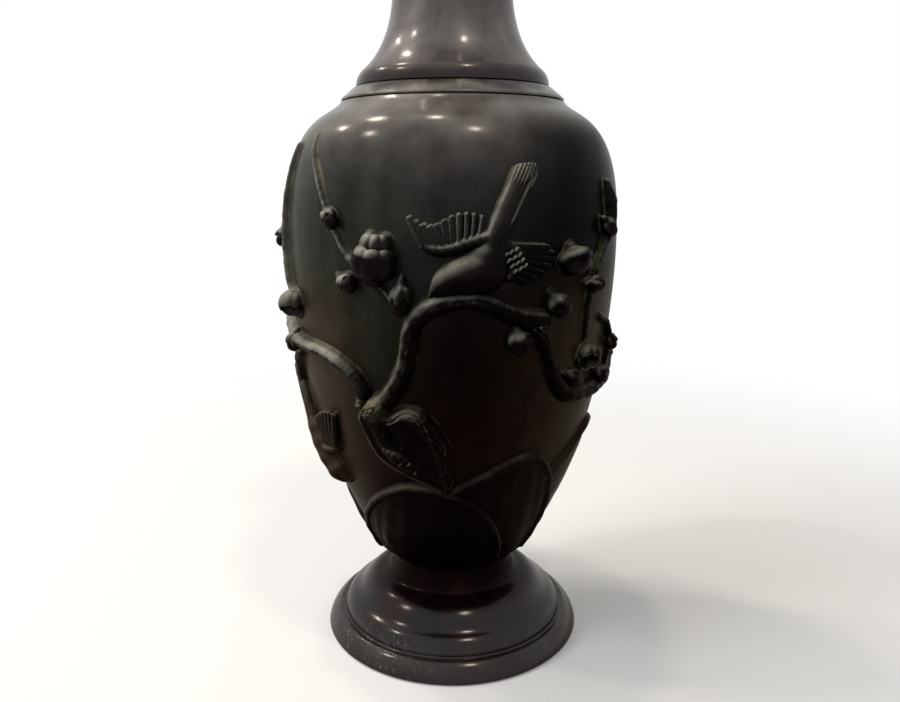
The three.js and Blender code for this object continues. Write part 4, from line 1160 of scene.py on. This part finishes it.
BLOSSOMS = {  # degrees, per cent, radius, length, points
    "blossom_upper_left": dict(place=(-22.8, 70, 7, 10, 10), lift=2.2, rise=6, petals=7, hollow=0.5, bare=1),
    "blossom_behind": dict(place=(-22.4, 72.8, 5.4, 8, 5), lift=0.6, rise=4, petals=9, hollow=0),
    "blossom_left": dict(place=(-64.4, 60, 5.4, 7.6, 150), rise=30, petals=6),
    "blossom_low_right": dict(place=(50, 50.6, 4.8, 7, 230), lift=1.4, rise=45),
    "blossom_back_right": dict(place=(118.5, 53.6, 6, 8, 40)),
    "blossom_back": dict(place=(172.5, 69.4, 6.4, 8.4, -20), rise=45),
    "blossom_back_left": dict(place=(-115.6, 61.6, 5.8, 7.8, -30)),
}
BUDS = {  # degrees, per cent, radius, length, points
    "blossom_right": dict(place=(38.6, 69.8, 5.8, 8.6, 170), lift=1.6, rise=20, cap=0.05),
    "bud_top_left": dict(place=(-38.6, 77.4, 2.7, 7.2, 135), lift=1.7),
    "bud_mid_left": dict(place=(-32.4, 66, 2.7, 7.4, 110), lift=1.8, lobes=3),
    "bud_hanging": dict(place=(-15, 63.4, 3.1, 10, 180), rise=8),
    "bud_left_edge": dict(place=(-76.2, 72.6, 2.4, 6.4, 160), cap=-0.15, lift=2.2, rise=10),
    "bud_branch_left": dict(place=(-68.4, 51.6, 3, 7.4, 200), lift=2.6),
    "bud_top_right": dict(place=(56, 75.4, 2.7, 6.8, 140), cap=-0.15, lift=2.2, rise=10),
    "bud_twig_right": dict(place=(49.8, 65, 2.7, 7.2, 95), cap=-0.15, rise=12),
    "bud_round": dict(place=(33, 61.8, 3.6, 7.6, 150), lift=2.4, rise=30, cap=0.1),
    "bud_under_branch": dict(place=(20.4, 55.4, 3.7, 8, 175), cap=0.08),
    "bud_far_right": dict(place=(70, 51.4, 2.5, 6.4, 150), cap=-0.15, lift=2.4),
    "bud_low_right": dict(place=(62, 45.5, 2.9, 6.4, 170), cap=-0.15, lift=2.4, rise=20),
    "knob_right": dict(place=(43.6, 46.8, 2.5, 8.4, 115), lift=1.8, rise=10, cap=0.3),
    "bud_side_right": dict(place=(90, 46, 2.8, 7, 190), lift=2.4),
    "bud_back_right": dict(place=(143, 63.6, 2.8, 7, 20), lift=1.9),
    "bud_back_top": dict(place=(184, 80, 2.6, 6.6, 60), lift=1.8),
    "bud_back_left": dict(place=(-122, 70.6, 2.6, 6.8, 70), lift=1.8),
}
BIRDS = {
    "bird_front": dict(
        body=[
            [13.2, 76.6, 2.6, 4], [12, 74, 4.8, 5], [10.6, 71.2, 6.9, 6], [8.2, 69, 7.4, 6.6],
            [4.6, 68.2, 6.6, 6.6], [1, 67.6, 5.4, 6], [-2.2, 66.6, 4.2, 5.2], [-4.6, 65.4, 2.7, 3.8],
            [-6.4, 64.4, 0.9, 2],
        ],
        tail=[[11.6, 74, 3.4, 4.6], [14.4, 78, 3.4, 4.2], [17.8, 82, 3.6, 4], [21, 85.4, 3.7, 3.8]],
        quills=[  # degrees and per cent of root and tip, half width, proud
            [-8.6, 73.4, -12.3, 77.9, 1, 2.9], [-7.4, 73.4, -10.4, 77.1, 1.3, 2.5],
            [-5.8, 73.4, -8.2, 76.4, 1.5, 2.6], [-4.2, 73.4, -6, 76.2, 1.5, 2.7],
            [-2.6, 73.5, -4, 76.5, 1.5, 2.8], [-1.1, 73.6, -2.1, 77.2, 1.4, 2.9],
            [0.4, 73.7, -0.2, 77.9, 1.2, 3], [2, 73.9, 1.8, 78.4, 1, 3.2], [3.7, 74, 3.9, 78.6, 0.85, 3.4],
            [5.4, 74.2, 6, 78.5, 0.8, 3.5], [7.1, 74.6, 8.1, 78.2, 0.75, 3.6],
            [17.4, 73, 27.6, 72.6, 1.3, 3.2], [17.4, 72.2, 29.4, 71.5, 1.3, 3],
            [17.4, 71.6, 29.8, 70.4, 1.15, 2.9], [17, 70.8, 28.4, 69.2, 1.15, 2.8],
            [16.6, 70, 26.4, 68.1, 1.15, 2.7], [16, 69.2, 23.8, 67.2, 1.15, 2.6],
            [15.2, 68.4, 21, 66.6, 1.15, 2.5],
        ],
        coverts=[
            [
                [-9.2, 73.6, 0.9, 2.2], [-6.6, 72.9, 1.6, 3], [-3.4, 72.6, 2, 3.4], [0, 72.9, 2.1, 3.7],
                [4, 73.7, 2.2, 4.1], [8.5, 74.6, 2.2, 4.4],
            ],
            [
                [11, 73.8, 2, 4.6], [15.4, 73, 2.3, 4.6], [18.3, 71.4, 2.4, 4.2], [18.4, 69.4, 2, 3.6],
                [16, 67.6, 1.6, 3.4],
            ],
        ],
        marks=[
            (14 + 1.5 * row + 0.9 * mark, 71.8 + 0.45 * row - 0.95 * mark, 1.1, 0.45, 0.9, 4.7 - 0.15 * row)
            for row in range(3)
            for mark in range(4)
        ],
    ),
    "bird_left": dict(
        body=[
            [-73, 37.2, 2.4, 3.4], [-71, 34, 4.4, 4.6], [-68, 30.8, 5.6, 5.4], [-64.4, 27.6, 5.4, 5.6],
            [-61, 25.4, 4.6, 5.4], [-57.8, 23.8, 4, 5.2], [-55.2, 22.8, 2.6, 3.8], [-53, 22.2, 0.9, 2],
        ],
        tail=[[-71, 35, 2.6, 3.6], [-75, 39.4, 2.8, 3.4], [-80, 44, 2.8, 3.2]],
        quills=[  # degrees and per cent of root and tip, half width, proud
            [-63.6, 30, -64.4, 35.2, 1.1, 3], [-61.6, 30.2, -61.6, 36, 1.1, 3],
            [-59.6, 30.4, -58.8, 36.8, 1.1, 3], [-57.6, 30.6, -56, 37.5, 1.1, 2.9],
            [-55.6, 30.8, -53.2, 38, 1.1, 2.8], [-53.6, 31, -50.4, 38.3, 1.1, 2.7],
            [-52, 31, -47.8, 38.2, 1.1, 2.6],
        ],
        coverts=[[[-66, 30, 2.2, 4.4], [-61, 29.2, 2.3, 4], [-56, 29.6, 2, 3.4], [-52, 30.2, 1.4, 2.6]]],
    ),
}

TURNED = bronze("bronze_turned_finish", 0.35, False)
RELIEF = bronze("bronze_relief_finish", 0.25, True)

foot_piece()
plate_piece()
body_piece()
collar_piece()
neck_piece()
for node, (proud, ridge) in HILLS.items():
    hill_piece(node, proud, ridge)
trunk_piece()
for node, stations in BRANCHES.items():
    branch_piece(node, stations, KNOTS.get(node, 0))
for make_piece, shapes in ((bird_piece, BIRDS), (blossom_piece, BLOSSOMS), (bud_piece, BUDS)):
    for node, shape in shapes.items():
        make_piece(node, **shape)

# Stage, light and camera, with places in metres and the camera's in millimetres.

CAMERA_PLACE = (-0.9, -297.4, 177.4)
CAMERA_PITCH = 12.72  # degrees below the level
CAMERA_LENS = 31.8
CAMERA_SENSOR = 36
CAMERA_NEAR = 0.01

FLOOR_HALF = 4
FLOOR_GLOW = 0.16  # share of the floor's white that no shadow takes away
FLOOR_LOOK = (0.8, 0.8, 0.8)
FLOOR_LIGHT = (0.2, 0.2, 0.2)  # what it throws back onto other things
FLOOR_FADE = (0.16, 0.5)  # from the vase's axis, where the floor turns into plain white
ROOM_LIGHT = 0.18
LAMP_AIM = (0, 0, 0.1)
LAMP_DISTANCE = 1.5
LAMP_COLOUR = (1, 0.9, 0.76)
LAMPS = [  # direction from the vase, diameter, watts
    ((-0.45, 0.25, 0.86), 0.15, 3.4), ((-0.66, 0.33, 0.68), 0.1, 2), ((-0.11, 0.04, 0.99), 0.11, 2.4),
    ((0.19, -0.34, 0.92), 0.13, 2.8), ((-0.64, -0.09, 0.76), 0.11, 2.2),
]
SOFTBOXES = {  # place, diameter, watts; they don't show in the metal
    "softbox_above": ((-0.62, 0.1, 1.4), 1.2, 7),
    "softbox_left": ((-1.35, -0.5, 0.9), 0.7, 10),
}


def stage_floor():
    """A white floor that keeps the vase's shadow near it and runs out into the white room."""
    mesh = bpy.data.meshes.new("floor")
    corners = [(x * FLOOR_HALF, y * FLOOR_HALF, 0) for x, y in ((-1, -1), (1, -1), (1, 1), (-1, 1))]
    mesh.from_pydata(corners, [], [(0, 1, 2, 3)])
    floor = bpy.data.objects.new("floor", mesh)
    bpy.context.scene.collection.objects.link(floor)
    nodes = Nodes(bpy.data.materials.new("floor_paint"))
    seen = nodes.seen()
    paint = nodes.tree.nodes["Principled BSDF"]
    nodes.fill(paint, Roughness=1, Specular_IOR_Level=0, Base_Color=nodes.mix(seen, FLOOR_LIGHT, FLOOR_LOOK))
    glow = nodes.add("Emission", Strength=nodes.times(seen, FLOOR_GLOW))
    lit = nodes.add("AddShader", i0=paint.outputs[0], i1=glow.outputs[0])
    where = nodes.add("TexCoord").outputs["Object"]
    away = nodes.add("VectorMath", {"operation": "LENGTH"}, i0=where).outputs["Value"]
    far = nodes.times(nodes.ramp(away, *FLOOR_FADE), seen)
    white = nodes.add("Emission", Strength=1.0)
    both = nodes.add("MixShader", i0=far, i1=lit.outputs[0], i2=white.outputs[0])
    nodes.fill(nodes.tree.nodes["Material Output"], Surface=both.outputs[0])
    mesh.materials.append(nodes.owner)
    floor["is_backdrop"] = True


def lamp(name, place, size, watts, colour=(1, 1, 1), mirrored=False):
    """A round lamp that looks at the vase; only a mirrored one shows in the metal."""
    data = bpy.data.lights.new(name, "AREA")
    data.shape = "DISK"
    data.size = size
    data.energy = watts
    data.color = colour
    light = bpy.data.objects.new(name, data)
    light.location = place
    light.rotation_euler = (Vector(LAMP_AIM) - Vector(place)).to_track_quat("-Z", "Y").to_euler()
    light.visible_glossy = mirrored
    bpy.context.scene.collection.objects.link(light)


def room():
    """A room that is white to look at and in reflections, and dimmer as a lamp."""
    world = bpy.data.worlds.new("room")
    bpy.context.scene.world = world
    nodes = Nodes(world)
    strength = nodes.math("MULTIPLY_ADD", nodes.seen(), 1 - ROOM_LIGHT, ROOM_LIGHT)
    nodes.fill(nodes.tree.nodes["Background"], Strength=strength, Color=(1, 1, 1))


def camera():
    data = bpy.data.cameras.new("camera")
    data.lens = CAMERA_LENS
    data.sensor_width = CAMERA_SENSOR
    data.clip_start = CAMERA_NEAR
    seat = bpy.data.objects.new("camera", data)
    seat.location = [v * MM for v in CAMERA_PLACE]
    seat.rotation_euler = (math.radians(90 - CAMERA_PITCH), 0, 0)
    bpy.context.scene.collection.objects.link(seat)
    bpy.context.scene.camera = seat


stage_floor()
room()
camera()
for name, shape in SOFTBOXES.items():
    lamp(name, *shape)
for number, (way, size, watts) in enumerate(LAMPS):
    place = Vector(LAMP_AIM) + LAMP_DISTANCE * Vector(way)
    lamp("spot_%d" % number, place, size, watts, LAMP_COLOUR, True)
bpy.context.scene.view_settings.view_transform = "Standard"

size = {"cad": [list(corner) for corner in CAD_BOX], "visual": [list(corner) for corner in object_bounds()]}
